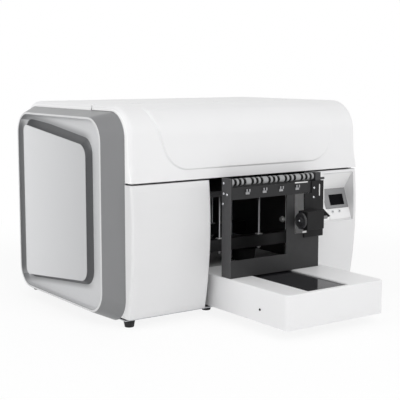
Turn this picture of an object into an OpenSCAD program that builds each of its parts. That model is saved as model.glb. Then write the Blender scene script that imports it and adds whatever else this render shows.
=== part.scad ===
// Benchtop UV printer: a white housing with a hinged top cover, grey dished side frames,
// a roll feeder on a front tray, a lifting bed in the front bay and a print carriage above it.
// Millimetres, Z up. X runs to the machine's right, Y to its rear, and y = 0 is the front
// face at the split line until place() moves the machine over the middle of its footprint.

/* [Body] */
// Depth of the white body from the front face at the split line
body_d = 720; // [680:1:820]
// Height of the top surface above the floor
body_h = 668; // [650:1:740]
// Height of the lower panels' bottom edge
base_z = 32; // [30:1:40]
// Height of the split line between the cover and the lower panels
split_z = 440; // [434:1:450]
// Open gap at the split line
split_gap = 6; // [4:0.5:10]
// Thickness of the moulded panels
skin = 4; // [3:0.5:5]
// Radius of the bowed front of the lower panels
bulge_r = 1225; // [1000:5:1600]
// Height at which the bowed front stands furthest out
bulge_z = 300; // [270:1:330]
// Rounding of the lower panels' upright edges
edge_r = 10; // [6:0.5:14]
// Lean of the cover's front face over its height
cover_lean = 8; // [4:0.5:12]
// Rounding between the cover's front and the top
top_r = 100; // [88:1:110]
// Rounding between the top and the rear
rear_r = 110; // [95:1:125]

/* [Front opening] */
// Width of the front opening
bay_w = 413; // [408:1:440]
// Depth of the bay's side walls behind the front panels
bay_d = 604; // [560:1:620]
// Sheet thickness of the bay's side walls and shelves
bay_sheet = 3; // [2:0.5:4]

/* [Base] */
// Height of the rubber feet
foot_h = 24; // [20:1:26]
// Radius of a foot where it meets the base
foot_top_r = 18.5; // [16:0.5:20]
// Radius of a foot where it meets the floor
foot_low_r = 14; // [11:0.5:15]
// Distance of a corner foot's middle from the body's side face
foot_side = 28; // [24:1:40]
// Distance of a corner foot's middle from the base pan's front or rear edge
foot_end = 24; // [21:1:40]
// Distance of a middle foot to either side of the opening's middle
foot_mid = 147; // [120:1:160]
// Distance of a middle foot behind the base pan's front edge
foot_mid_y = 65; // [50:1:90]
// Thickness of the base pan
pan_t = 3; // [2:0.5:4]

/* [Cover hinge] */
// Distance of the cover's hinge line behind the front face
hinge_y = 228; // [215:1:245]
// Radius of the rolled hinge knuckles
knuckle_r = 5; // [4.5:0.1:6]
// Radius of the hinge pins
pin_r = 2.5; // [2:0.1:3]
// Running clearance of the hinge pins and other shafts
run_fit = 0.05; // [0.02:0.01:0.1]
// Width of a fixed knuckle
knuckle_w = 60; // [40:1:90]
// Distance between fixed knuckles
knuckle_pitch = 300; // [250:1:340]
// End play beside the fixed knuckles and behind the cover
knuckle_gap = 0.8; // [0.5:0.1:1.5]
// Length of a hinge pin
pin_len = 110; // [100:1:160]
// Length of a fixed hinge leaf
leaf_d = 44; // [30:1:60]
// Clearance between the cover's ends and the side frames
cover_gap = 0.5; // [0.3:0.1:1]

/* [Cover relief] */
// Height of the raised field on the cover's front
relief = 3; // [2:0.5:5]
// Distance of the raised field's lower edge above the split line
relief_z = 35; // [25:1:50]
// Distance of the raised field's left edge from the body's side, at its foot
relief_left = 144; // [120:1:170]
// Sideways slant of the left edge over the body's height above the split line
relief_slant = 112; // [80:1:116]
// Distance of the raised field's right edge from the body's side
relief_right = 113; // [90:1:140]
// Rounding of the raised field's lower left corner
relief_r1 = 90; // [60:1:110]
// Rounding of the raised field's lower right corner
relief_r2 = 95; // [60:1:110]
// Drop of the raised field's rounding below the top, so that it runs out on the curve
relief_fade = 0.8; // [0.6:0.1:2]

/* [Side frames] */
// Distance that a side frame stands out from the body
frame_t = 56; // [48:1:64]
// Rounding of a side frame's corners
frame_r = 77; // [60:1:85]
// Height of a side frame's lower edge
frame_z = 16; // [12:1:20]
// White band in front of a side frame
band_w = 36; // [30:1:44]
// White band above a side frame
top_band = 18; // [16:1:26]
// White band behind a side frame
rear_band = 22; // [18:1:30]
// Taper of a side frame towards its rim, at the front and rear
rim_in_y = 47; // [35:1:55]
// Taper of a side frame towards its rim, at the top
rim_in_top = 17; // [12:1:24]
// Taper of a side frame towards its rim, at the bottom
rim_in_low = 24; // [16:1:30]
// Rounding of the rim's corners
rim_r = 73; // [60:1:80]
// Width of the rim round the dish
rim_w = 6; // [4:0.5:9]
// Depth of the dish below the rim
dish_depth = 28; // [22:1:32]
// Thickness of the dish panel
dish_t = 3; // [2:0.5:4]
// Thickness of the frame's web behind the dish panel
web_t = 4; // [3:0.5:6]
// Height of the raised accent panel above the dish
accent_t = 20; // [12:1:24]
// Wall of the accent panel
accent_wall = 3; // [2:0.5:4]
// Spread of the accent panel's flanks at the front, the rear and below
accent_flank = 12; // [8:0.5:14]
// Further spread of its upper flank at the front
accent_rise = 6; // [2:0.5:10]
// Further spread of its upper flank at the rear
accent_peak = 16; // [8:0.5:18]
// Distance of the accent panel's front edge behind the rim's inner edge
accent_front = 100; // [80:1:120]
// Distance of the accent panel's rear edge from the rim's inner edge
accent_rear = 25; // [18:1:40]
// Distance of the accent panel's rear top corner below the rim's inner edge
accent_top = 34; // [24:1:46]
// Distance of the accent panel's rear lower corner above the rim's inner edge
accent_low = 32; // [24:1:46]
// Drop of the accent panel's top edge and rise of its lower edge towards the front
accent_slant = 48; // [30:1:60]
// Rounding of the accent panel's front corners
accent_r1 = 40; // [28:1:52]
// Rounding of the accent panel's rear corners
accent_r2 = 22; // [14:1:30]

/* [Control panel] */
// Width of the control pocket
pocket_w = 134; // [130:1:138]
// Distance of the pocket from the body's right side
pocket_side = 16; // [12:1:24]
// Distance of the pocket's top edge below the panel's top edge
pocket_drop = 9; // [8:1:14]
// Depth of the pocket at the head of the control panel
pocket_d = 40; // [34:1:46]
// Height of the slope above the control panel
slope_h = 57; // [50:1:64]
// Length of the tilted control panel
panel_len = 114; // [112:1:120]
// Lean of the control panel from upright
panel_tilt = 20; // [16:0.5:22]
// Wall of the pocket
pocket_wall = 3; // [2:0.5:4]
// Width of the display bezel and the key plate
bezel_w = 96; // [92:1:97]
// Distance of the display from the pocket's right wall
bezel_side = 3; // [2:0.5:5]
// Further width of the display bezel at its left
bezel_more = 7; // [4:1:10]
// Height of the display bezel
bezel_h = 70; // [62:1:72]
// Thickness of the display bezel
bezel_t = 3; // [2.5:0.5:4]
// Width of the screen
screen_w = 64; // [56:1:72]
// Height of the screen
screen_h = 37; // [30:1:42]
// Distance of the screen above the bezel's lower edge
screen_up = 11; // [8:1:16]
// Thickness of the screen
screen_t = 2; // [1.5:0.1:2.4]
// Height of the key plate
plate_h = 36; // [32:1:38]
// Thickness of the key plate
plate_t = 2.5; // [2:0.5:3]
// Radius of a key
key_r = 6; // [5:0.5:8]
// Distance that a key stands out of its plate
key_proud = 1.6; // [1.4:0.1:3]
// Distance between the keys
key_pitch = 31; // [24:1:36]
// Distance of the key pair's middle to the left of the screen's middle
key_shift = 13.5; // [8:0.5:18]
// Clearance round a key
key_gap = 0.3; // [0.2:0.05:0.5]

/* [Front tray] */
// Gap between the tray and the left side of the opening
tray_left = 21; // [16:1:26]
// Gap between the tray and the right side of the opening
tray_gap = 6; // [4:0.5:10]
// Distance that the tray reaches out in front of the body
tray_out = 348; // [330:1:400]
// Distance that the tray reaches into the bay
tray_in = 120; // [110:1:130]
// Height of the tray
tray_h = 104; // [96:1:108]
// Rounding of the tray's upright corners
tray_r = 16; // [10:1:24]
// Wall of the tray
tray_wall = 4; // [3:0.5:5]
// Distance of the slot window from the tray's left side
slot_left = 89; // [80:1:110]
// Width of the slot window
slot_w = 162; // [130:1:180]
// Distance of the slot window behind the tray's front
slot_front = 14; // [10:1:20]
// Length of the slot window
slot_len = 304; // [290:1:320]
// Margin of the window sheet that is glued under the tray's top
slot_lip = 6; // [4:0.5:8]
// Thickness of the window sheet
slot_t = 3; // [2:0.5:4]

/* [Roll feeder] */
// Distance of the feeder's left plate from the tray's left side
feeder_left = 3; // [2:0.5:8]
// Distance of the feeder's right plate from the tray's right side
feeder_right = 24; // [20:1:32]
// Distance of the feeder's front face in front of the body
feeder_out = 73; // [68:1:80]
// Depth of the feeder's side plates
feeder_d = 46; // [42:1:50]
// Sheet thickness of the feeder
feeder_sheet = 3; // [2:0.5:4]
// Height of the feeder's window above the tray
window_z = 55; // [45:1:65]
// Height of the cross bar's lower edge above the tray
bar_z = 244; // [236:1:250]
// Height of the cross bar
bar_h = 38; // [34:1:40]
// Depth of the cross bar
bar_d = 30; // [28:1:34]
// Distance that the cross bar reaches past the front plate
bar_over = 13; // [12:1:15]
// Width of the post between the two windows
post_w = 35; // [28:1:42]
// Height of the small window
side_window_h = 128; // [110:1:136]
// Width of the small window
side_window_w = 90; // [80:1:94]
// Width of the front plate to the right of the small window
front_rest = 12; // [8:1:16]
// Height of the bearing blocks
block_h = 27; // [26:0.5:30]
// Thickness of the left bearing block
block_left = 3; // [2:0.5:6]
// Thickness of the right bearing block
block_right = 22; // [18:0.5:24]
// Distance of the right bearing block from the cross bar's end
block_in = 8; // [6:0.5:12]
// Radius of the feed roller's core
core_r = 9.5; // [8:0.1:10]
// Radius of the feed roller's shaft
shaft_r = 5; // [4:0.1:6]
// Height of the feed roller's axis above the cross bar
roller_up = 14; // [13.8:0.1:15]
// Thickness of the roller's sleeves
sleeve_t = 1.7; // [1:0.1:2.2]
// Width of a narrow sleeve
sleeve_n = 9.5; // [8:0.1:9.8]
// Width of a wide sleeve
sleeve_w = 21; // [18:0.1:22]
// Distance of the feed roller's core from each bearing block
roller_play = 1.5; // [1:0.1:2]
// Length of the shaft stub past the right bearing block
stub = 2; // [1:0.5:4]
// Radius of the guide pin on the right bearing block
guide_pin_r = 4.2; // [3.5:0.1:4.4]
// Length of the guide pin
guide_pin_len = 27; // [20:1:30]
// Height of the guide pin's axis above the cross bar
guide_pin_up = 4.5; // [4.3:0.1:4.7]

/* [Take-up unit] */
// Width of the motor bracket
bracket_w = 81; // [78:1:84]
// Distance of the motor bracket's right edge past the front plate
bracket_over = 15; // [14:1:18]
// Height of the motor bracket's lower edge above the tray
bracket_z = 101; // [90:1:106]
// Thickness of the motor bracket
bracket_t = 4; // [3:0.5:5]
// Width of the motor bracket's arm in front of the cross bar
arm_w = 51; // [44:1:56]
// Width of the take-up motor
motor_w = 70; // [64:1:74]
// Depth of the take-up motor
motor_d = 44; // [40:1:50]
// Height of the take-up motor
motor_h = 58; // [52:1:62]
// Distance of the take-up motor's left end past the bracket's left edge
motor_past = 25; // [20:1:30]
// Height of the take-up axis above the tray
takeup_z = 162; // [150:1:170]
// Radius of the take-up flange
flange_r = 25.5; // [22:0.5:25.5]
// Thickness of the take-up flange
flange_t = 8; // [6:0.5:10]
// Radius of the take-up flange's hub
hub_r = 11; // [9:0.5:13]
// Length of the take-up flange's hub
hub_t = 4; // [3:0.5:8]
// Gap between the take-up flange and its motor
flange_gap = 4; // [3:0.5:6]
// Radius of the take-up shaft
takeup_r = 4; // [3:0.1:5]
// Length of the take-up shaft inside the motor
takeup_in = 20; // [15:1:26]
// Height of the release lever's axis above the tray
lever_z = 169; // [150:1:180]
// Distance of the release lever's axis behind the feeder's front face
lever_y = 18; // [16:1:22]
// Radius of the release lever's pin
lever_pin_r = 4; // [3:0.1:5]
// Radius of the release lever's hub
lever_hub_r = 12; // [9:0.5:13]
// Width of the release lever's hub
lever_hub_w = 12; // [9:0.5:15]
// Length of the release lever's wedge handle
lever_len = 31; // [24:1:38]
// Height of the wedge handle at its root
lever_root = 34; // [28:1:38]
// Thickness of the wedge handle
lever_t = 20; // [14:1:24]
// Height of the wedge handle's tip above its lower edge
lever_tip = 7; // [4:0.5:12]
// Length of the release lever's pin behind the feeder's right plate
lever_pin_end = 2; // [1.5:0.5:3]

/* [Pinch clips and screws] */
// Distance of a pinch clip to the left of its wide sleeve's middle
clip_back = 10; // [4:0.5:12]
// Width of a pinch clip
clip_w = 15; // [12:0.5:18]
// Height of a pinch clip
clip_h = 16; // [12:0.5:20]
// Thickness of a pinch clip's spring sheet
clip_t = 1.2; // [1:0.1:1.6]
// Radius of a screw head
screw_r = 3.5; // [3:0.1:4]
// Height of a screw head
screw_t = 2; // [1.5:0.1:2.5]

/* [Lift] */
// Height of the print bed's top face, raised
bed_z = 392; // [388:1:396]
// Thickness of the print bed
bed_t = 8; // [6:0.5:10]
// Thickness of the lift platform
platform_t = 12; // [8:0.5:14]
// Clearance between the print bed and the bay's walls
bed_side = 11; // [8:0.5:14]
// Depth of the print bed
bed_d = 360; // [340:1:374]
// Overhang of the print bed round the platform
bed_over = 5; // [3:0.5:8]
// Distance of the front guide rods behind the front face
rod_y = 104; // [100:1:106]
// Distance between the guide rods from front to rear
rod_span_y = 267; // [240:1:280]
// Distance between the guide rods from side to side
rod_span_x = 164; // [150:1:180]
// Distance of the rods' middle from the slot window's middle
rod_shift = 1.5; // [-4:0.5:4]
// Radius of a guide rod
rod_r = 4; // [3.5:0.1:5]
// Height of a lift beam's top above the tray
beam_up = 93; // [90:1:100]
// Height of a lift beam
beam_h = 38; // [34:1:38]
// Depth of a lift beam
beam_d = 36; // [30:1:38]
// Radius of a bushing's body
bush_r = 7.5; // [6.5:0.1:9]
// Radius of a bushing's flange
bush_flange_r = 13; // [11:0.5:14]
// Thickness of a bushing's flange
bush_flange_t = 2; // [1.5:0.5:3]
// Radius of the stop collar on a guide rod
collar_r = 7; // [6:0.5:9]
// Height of the stop collar
collar_h = 6; // [5:0.5:7]
// Clearance of a stop collar under its beam
stop_gap = 0.3; // [0.2:0.05:0.5]
// Length of a guide rod below its stop collar
rod_tail = 4.7; // [3:0.1:6]
// Side of the lift motor
lift_motor_w = 42; // [38:1:46]
// Height of the lift motor
lift_motor_h = 44; // [38:1:48]
// Thickness of the lift motor's bracket
lift_bracket_t = 6; // [4:0.5:8]
// Radius of the lift screw
lift_screw_r = 4; // [3:0.1:5]
// Length of the lift screw below its motor
lift_tail = 35; // [30:1:60]

/* [Print unit] */
// Distance of the gantry beam's front behind the front face
gantry_y = 330; // [320:1:345]
// Depth of the gantry beam
gantry_d = 60; // [50:1:70]
// Height of the gantry beam
gantry_h = 70; // [64:1:76]
// Height of the gantry beam's lower face above the bed
gantry_up = 78; // [74:1:84]
// Wall of the gantry beam
gantry_wall = 4; // [3:0.5:5]
// Side of the linear rail
rail_s = 12; // [10:0.5:14]
// Distance of the rail's ends from the side plates
rail_end = 21; // [15:1:30]
// Clearance of sliding and turning parts that don't touch
slide_gap = 0.3; // [0.25:0.05:0.5]
// Length of the rail block
runner_w = 70; // [60:1:90]
// Wall of the rail block round the rail
runner_wall = 9; // [7:0.5:11]
// Distance of the print carriage's lamp from the side plate, at home
home_gap = 9; // [7:0.5:20]
// Width of the print carriage
carriage_w = 150; // [140:1:156]
// Depth of the print carriage in front of its back plate
carriage_d = 98; // [88:1:104]
// Thickness of the print carriage's back plate
carriage_back = 6; // [5:0.5:8]
// Height of the print carriage's tub
tub_h = 66; // [56:1:70]
// Wall of the print carriage's tub
tub_wall = 3; // [2:0.5:4]
// Height of the nozzle plates above the raised bed
nozzle_gap = 10; // [8:0.5:12]
// Distance that the nozzle plates stand out below the tub
nozzle_out = 2; // [1.5:0.1:3]
// Width of a print head
head_w = 55; // [46:1:60]
// Depth of a print head
head_d = 78; // [66:1:80]
// Height of a print head above the tub's floor
head_h = 43; // [34:1:48]
// Margin of the nozzle plate inside a print head's outline
nozzle_in = 9; // [6:0.5:12]
// Width of an ultraviolet lamp
lamp_w = 42; // [36:1:44]
// Depth of an ultraviolet lamp
lamp_d = 80; // [66:1:88]
// Height of an ultraviolet lamp
lamp_h = 64; // [54:1:70]

/* [Carriage drive] */
// Radius of the belt's inner face round a pulley
belt_r = 11; // [9:0.5:13]
// Thickness of the belt
belt_t = 1.6; // [1.2:0.1:2]
// Width of the belt
belt_w = 8; // [6:0.5:9]
// Distance of a pulley's axis from the side plate
pulley_in = 46; // [44:1:60]
// Distance of the belt's middle in front of the gantry beam
belt_out = 14; // [13:0.5:15]
// Radius of the pulley shafts
pulley_shaft_r = 2.5; // [2:0.1:3]
// Thickness of a pulley's flange
pulley_flange = 1.5; // [1:0.1:2]
// Distance that a pulley's flange stands above the belt's inner face
pulley_lip = 2.5; // [2:0.1:3]
// Side of the carriage motor
x_motor_w = 42; // [38:1:46]
// Length of the carriage motor
x_motor_d = 48; // [40:1:54]
// Thickness of the carriage motor's seat
x_seat = 2; // [1.5:0.5:4]
// Width of the carriage's belt clamp
clamp_w = 30; // [24:1:36]
// Height of the carriage's belt clamp
clamp_h = 12; // [10:0.5:12]

/* [Service parts] */
// Distance of the inner shelves below the raised bed
shelf_drop = 62; // [58:1:70]
// Distance of the inner shelves behind the front face
shelf_y = 60; // [56:1:70]
// Width of the capping station
cap_w = 110; // [96:1:114]
// Distance of the capping station's pads from the bay's wall
cap_side = 11; // [8:0.5:20]
// Depth of the capping station
cap_d = 90; // [80:1:94]
// Distance of the capping station's pads below the nozzle plates
cap_gap = 4; // [3:0.5:6]
// Height of the capping station's pads
pad_h = 6; // [4:0.5:8]
// Number of ink tanks
tank_n = 6; // [4:1:6]
// Width of an ink tank
tank_w = 36; // [30:1:38]
// Distance between ink tanks
tank_pitch = 42; // [40:1:44]
// Distance of the ink tanks from the side plate and the bay's wall
tank_side = 15; // [10:0.5:24]
// Depth of an ink tank
tank_d = 120; // [90:1:130]
// Height of an ink tank
tank_h = 90; // [70:1:94]
// Radius of an ink tank's cap
tank_cap_r = 10; // [8:0.5:13]
// Width of the control board
board_w = 200; // [160:1:220]
// Depth of the control board
board_d = 260; // [200:1:280]
// Height of the control board's standoffs
standoff_h = 15; // [10:0.5:20]
// Width of the power supply
supply_w = 110; // [90:1:130]
// Depth of the power supply
supply_d = 210; // [180:1:220]
// Height of the power supply
supply_h = 50; // [40:1:60]
// Distance of the electronics from the left side plate
board_in = 18; // [12:1:24]
// Distance of the control board behind the base pan's front edge
board_y = 80; // [70:1:90]
// Distance of the power supply from the rear panel
supply_y = 66; // [50:1:80]

/* [Rear] */
// Distance of the fan's middle from the body's left side
fan_side = 150; // [130:1:200]
// Height of the fan's middle
fan_z = 250; // [200:1:320]
// Radius of the fan's opening
fan_r = 38; // [34:1:42]
// Depth of the fan's shroud
fan_d = 28; // [24:1:34]
// Wall of the fan's shroud
fan_wall = 3; // [2:0.5:4]
// Distance of the fan's shroud outside the fan's opening
fan_gap = 2; // [1:0.5:3]
// Thickness of the arms that carry the fan
fan_web = 3; // [2:0.5:4]
// Distance of the fan rotor from the rear panel
fan_back = 5; // [4:0.5:8]
// Radius of the fan's hub
fan_hub_r = 15; // [12:0.5:17]
// Radius of the fan's pin
fan_pin_r = 2; // [1.5:0.1:3]
// Number of fan blades
fan_blades = 7; // [5:1:9]
// Pitch angle of the fan blades
blade_tilt = 35; // [25:1:45]
// Length of a ventilation slot
vent_w = 160; // [120:1:200]
// Height of a ventilation slot
vent_h = 6; // [4:0.5:8]
// Number of ventilation slots
vent_n = 8; // [4:1:10]
// Distance between ventilation slots
vent_pitch = 16; // [13:1:20]
// Distance of the power inlet from the body's right side
inlet_side = 84; // [70:1:120]
// Height of the power inlet's lower edge
inlet_z = 94; // [70:1:120]
// Width of the power inlet with its switch
inlet_w = 80; // [76:1:90]
// Height of the power inlet
inlet_h = 34; // [32:1:38]
// Depth of the power inlet
inlet_d = 27; // [25:1:32]
// Distance that the power inlet stands out of the rear panel's inner face
inlet_proud = 3; // [2:0.5:4]
// Wall of the power inlet round its socket and switch
inlet_wall = 4; // [3.5:0.5:5]
// Width of the power inlet's socket
socket_w = 32; // [28:1:33]
// Depth of the power inlet's socket
socket_d = 16; // [14:0.5:18]
// Width of the rocker switch
rocker_w = 22; // [18:1:24]
// Height of the rocker switch
rocker_h = 23; // [20:0.5:23]
// Distance of the rocker switch from the power inlet's right edge
rocker_edge = 7; // [6:0.5:9]
// Depth of the rocker's pivots below the power inlet's face
rocker_in = 10; // [9:0.5:11]
// Half of the rocker's travel
rocker_tilt = 9; // [6:0.5:10]
// Radius of the rocker's pivots
rocker_pin_r = 1.5; // [1.2:0.1:2]

/* [Hidden] */
$fn = 48;

white = [0.93, 0.93, 0.93];
grey = [0.52, 0.53, 0.54];
silver = [0.80, 0.81, 0.82];
dark = [0.16, 0.16, 0.17];
black = [0.05, 0.05, 0.06];
steel = [0.66, 0.67, 0.69];
green = [0.10, 0.30, 0.16];

// Depth by which cutting shapes run past the faces that they cut
cut = 1;

// The left front panel spans the ink tanks, the right one the print carriage at home
tank_row = (tank_n - 1) * tank_pitch + tank_w;
left_w = 2 * skin + tank_row + 2 * tank_side;
head_reach = head_w + tub_wall;
carriage_reach = carriage_w / 2 + lamp_w;
right_w = 2 * skin + cap_side + head_reach + carriage_reach + home_gap;
body_w = left_w + bay_w + right_w;
half_w = body_w / 2;
plate_x = half_w - skin;
pan_top = foot_h + pan_t;
panel_top = split_z - split_gap / 2;
cover_z = split_z + split_gap / 2;
arc_z = body_h - top_r;
rear_arc_z = body_h - rear_r;
hinge_z = body_h - knuckle_r;
rear_top_y = hinge_y + knuckle_r + knuckle_gap;
// Greatest stand-out of the bowed panels in front of the split line
bulge = bulge_r - sqrt(pow(bulge_r, 2) - pow(split_z - bulge_z, 2));

bay_x0 = left_w - half_w;
bay_x1 = half_w - right_w;
bay_mid = (bay_x0 + bay_x1) / 2;
bay_in0 = bay_x0 - skin + bay_sheet;
bay_in1 = bay_x1 + skin - bay_sheet;
bay_top = bed_z - bay_sheet;
bay_y = [band_w, band_w + bay_d];
shelf_z = bed_z - shelf_drop;

frame_y = [band_w, body_d - rear_band];
frame_h = [frame_z, body_h - top_band];
rim_y = [frame_y[0] + rim_in_y, frame_y[1] - rim_in_y];
rim_h = [frame_h[0] + rim_in_low, frame_h[1] - rim_in_top];
dish_x = half_w + frame_t - dish_depth;

tray_x1 = bay_x1 - tray_gap;
tray_x0 = bay_x0 + tray_left;
tray_top = base_z + tray_h;
slot_x = [tray_x0 + slot_left, tray_x0 + slot_left + slot_w];
slot_y = [slot_front - tray_out, slot_front - tray_out + slot_len];

feeder_x0 = tray_x0 + feeder_left;
feeder_x1 = tray_x1 - feeder_right;
feeder_y = -feeder_out;
feeder_rear = feeder_y + feeder_d;
bar_low = tray_top + bar_z;
bar_top = bar_low + bar_h;
bar_x = [feeder_x0 + feeder_sheet, feeder_x1 + bar_over];
roller_y = feeder_y + bar_d / 2;
roller_z = bar_top + roller_up;
block_x1 = bar_x[1] - block_in - block_right;
core_x = [bar_x[0] + block_left + roller_play, block_x1 - roller_play];
// Widths of the sleeves along the roller, a wide one under each pinch clip
sleeves = [
  for (i = [0:15]) (i > 2 && i < 13 && i % 3 == 0) ? sleeve_w : sleeve_n
];
function sum_to(i) = i < 0 ? 0 : sleeves[i] + sum_to(i - 1);
sleeve_end = len(sleeves) - 1;
sleeve_gap = (core_x[1] - core_x[0] - 2 * roller_play - sum_to(sleeve_end)) / sleeve_end;
function sleeve_start(i) = core_x[0] + roller_play + sum_to(i - 1) + i * sleeve_gap;
clip_x = [for (i = [3, 6, 9, 12]) sleeve_start(i) + sleeves[i] / 2 - clip_back];

bracket_x = [feeder_x1 + bracket_over - bracket_w, feeder_x1 + bracket_over];
bracket_y = feeder_y - bracket_t;
motor_x = [bracket_x[0] - motor_past, bracket_x[0] - motor_past + motor_w];
takeup_y = bracket_y - motor_d / 2;
takeup_axis_z = tray_top + takeup_z;
flange_x1 = motor_x[0] - flange_gap;
lever_axis_y = feeder_y + lever_y;
lever_axis_z = tray_top + lever_z;
lever_x = bracket_x[1] + slide_gap;

rod_x_mid = (slot_x[0] + slot_x[1]) / 2 + rod_shift;
rods = [
  for (x = [-1, 1], y = [0, 1]) [rod_x_mid + x * rod_span_x / 2, rod_y + y * rod_span_y]
];
beam_top = tray_top + beam_up;
beam_low = beam_top - beam_h;
bed_x = [bay_in0 + bed_side, bay_in1 - bed_side];
bed_y = [rod_y + rod_span_y / 2 - bed_d / 2, rod_y + rod_span_y / 2 + bed_d / 2];
platform_z = bed_z - bed_t - platform_t;
lift_y = rod_y + beam_d / 2 + lift_bracket_t + lift_motor_w / 2;

gantry_z = bed_z + gantry_up;
gantry_top = gantry_z + gantry_h;
rail_z = gantry_z + gantry_h / 2;
home_x = plate_x - home_gap - carriage_reach;
nozzle_z = bed_z + nozzle_gap;
tub_z = nozzle_z + nozzle_out;
runner_y = gantry_y - rail_s - runner_wall;
back_y = runner_y - carriage_back;
tub_y = back_y - carriage_d;
head_y = back_y - tub_wall - head_d;
pulley_z = gantry_top + x_seat + x_motor_w / 2;
pulley_x = plate_x - pulley_in;
belt_y = [gantry_y - belt_out - belt_w / 2, gantry_y - belt_out + belt_w / 2];
belt_low = pulley_z - belt_r - belt_t;

pocket_x = [half_w - pocket_side - pocket_w, half_w - pocket_side];
pocket_mid = pocket_x[1] - bezel_side - bezel_w / 2;
pocket_top = panel_top - pocket_drop;
pocket_head = [pocket_d, pocket_top - slope_h];
pocket_foot = pocket_head - panel_len * [sin(panel_tilt), cos(panel_tilt)];
pocket_out = -bulge - cut;
bezel_v = panel_len - bezel_h - pocket_wall / 2;
plate_v = bezel_v - plate_h - pocket_wall / 2;
key_v = plate_v + plate_h * 0.75;

fan_x = fan_side - half_w;
fan_y = body_d - skin - fan_d;
inlet_x = [half_w - inlet_side - inlet_w, half_w - inlet_side];
inlet_y = [body_d - skin + inlet_proud - inlet_d, body_d - skin + inlet_proud];
rocker_x = inlet_x[1] - rocker_edge - rocker_w / 2;
rocker_y = inlet_y[1] - rocker_in;
rocker_z = inlet_z + inlet_h / 2;

// Middle of the footprint from the tray's front to the rear panel
mid_y = (body_d - tray_out) / 2;

module place() translate([0, -mid_y, 0]) children();
module box(x, y, z)
  translate([x[0], y[0], z[0]]) cube([x[1] - x[0], y[1] - y[0], z[1] - z[0]]);
module rod_along_x(x, y, z, r)
  translate([x[0], y, z]) rotate([0, 90, 0]) cylinder(h = x[1] - x[0], r = r);
module rod_along_y(x, y, z, r)
  translate([x, y[0], z]) rotate([-90, 0, 0]) cylinder(h = y[1] - y[0], r = r);
module rod_along_z(x, y, z, r)
  translate([x, y, z[0]]) cylinder(h = z[1] - z[0], r = r);
// A shape drawn in Y and Z, carried along X
module along_x(x)
  translate([x[0], 0, 0]) rotate([90, 0, 90]) linear_extrude(x[1] - x[0]) children();
// A shape drawn in X and Z, carried along Y
module along_y(y)
  translate([0, y[1], 0]) rotate([90, 0, 0]) linear_extrude(y[1] - y[0]) children();
module along_z(z)
  translate([0, 0, z[0]]) linear_extrude(z[1] - z[0]) children();
module left() mirror([1, 0, 0]) children();
module both_sides() {
  children();
  left() children();
}

// Rectangle from u[0], v[0] to u[1], v[1] with round corners
module rounded(u, v, r) {
  translate([u[0] + r, v[0]]) square([u[1] - u[0] - 2 * r, v[1] - v[0]]);
  translate([u[0], v[0] + r]) square([u[1] - u[0], v[1] - v[0] - 2 * r]);
  for (a = [u[0] + r, u[1] - r], b = [v[0] + r, v[1] - r])
    translate([a, b]) circle(r);
}

function unit(v) = v / norm(v);
// Arc of n steps that rounds corner b between its neighbours a and c
function bend(a, b, c, r, n = 10) =
  let (
    u = unit(a - b),
    v = unit(c - b),
    half = acos(u * v) / 2,
    m = b + unit(u + v) * r / sin(half),
    s = b + u * r / tan(half) - m,
    turn = cross(u, v) > 0 ? -1 : 1
  )
  [
    for (i = [0:n])
      let (w = turn * (180 - 2 * half) * i / n)
      m + [s.x * cos(w) - s.y * sin(w), s.x * sin(w) + s.y * cos(w)]
  ];
// Corner of a wall of thickness w outside two faces with outward normals m and n
function miter(p, m, n, w) = p + w * (m + n) / (1 + m * n);

// Outline of a side frame on the body's side, in Y and Z
module side_outline(grow = 0)
  rounded(
    [frame_y[0] - grow, frame_y[1] + grow], [frame_h[0] - grow, frame_h[1] + grow],
    frame_r + grow
  );
module rim_outline(inset = 0)
  rounded([rim_y[0] + inset, rim_y[1] - inset], [rim_h[0] + inset, rim_h[1] - inset], rim_r - inset);

// The pan's tongue lies inside the tray, with an upright flange at each side, on two rails
module base_pan() {
  rail_w = 12;
  rail_in = 90;
  flange_h = tray_h * 0.55;
  inner_x = [tray_x0 + tray_wall, tray_x1 - tray_wall];
  flange_y = [2 * tray_r - tray_out, tray_in - 2 * tray_r];
  color(steel) {
    box([-half_w, half_w], [band_w + skin, body_d - skin], [foot_h, pan_top]);
    along_z([base_z, base_z + pan_t]) tray_outline(tray_wall + slide_gap);
    for (x = [inner_x[0], inner_x[1] - pan_t])
      box([x, x + pan_t], flange_y, [base_z, base_z + flange_h]);
    for (x = [inner_x[0] + rail_in, inner_x[1] - rail_in - rail_w])
      box([x, x + rail_w], [rail_in - tray_out, tray_in - rail_w], [foot_h, base_z + pan_t]);
  }
}

module foot(x, y)
  translate([x, y, 0]) cylinder(h = foot_h, r1 = foot_low_r, r2 = foot_top_r);
module rubber_feet() {
  pan_y = [band_w + skin, body_d - skin];
  color(black) {
    for (x = [foot_side - half_w, half_w - foot_side], y = [pan_y[0] + foot_end, pan_y[1] - foot_end])
      foot(x, y);
    for (x = [bay_mid - foot_mid, bay_mid + foot_mid])
      foot(x, pan_y[0] + foot_mid_y);
  }
}

module side_plates()
  color(steel) both_sides() along_x([plate_x, half_w]) intersection() {
    side_outline();
    translate([0, pan_top]) square([body_d, body_h]);
  }

// Each bay wall is folded from one sheet with the shelf behind it; a deck joins them behind the tray
module bay_walls() {
  shelf = [shelf_z - bay_sheet, shelf_z];
  deck = [tray_top - bay_sheet, tray_top];
  color(dark) {
    box([bay_x0 - skin, bay_in0], bay_y, [pan_top, bay_top]);
    box([-plate_x, bay_x0 - skin], [shelf_y, bay_y[1]], shelf);
    box([bay_in1, bay_x1 + skin], bay_y, [pan_top, bay_top]);
    box([bay_x1 + skin, plate_x], [shelf_y, bay_y[1]], shelf);
    difference() {
      box([bay_x0 - skin, bay_x1 + skin], [tray_in + 2 * slide_gap, bay_y[1]], deck);
      rod_along_z(rod_x_mid, lift_y, [deck[0] - cut, deck[1] + cut], 2 * lift_screw_r);
    }
  }
}

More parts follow.
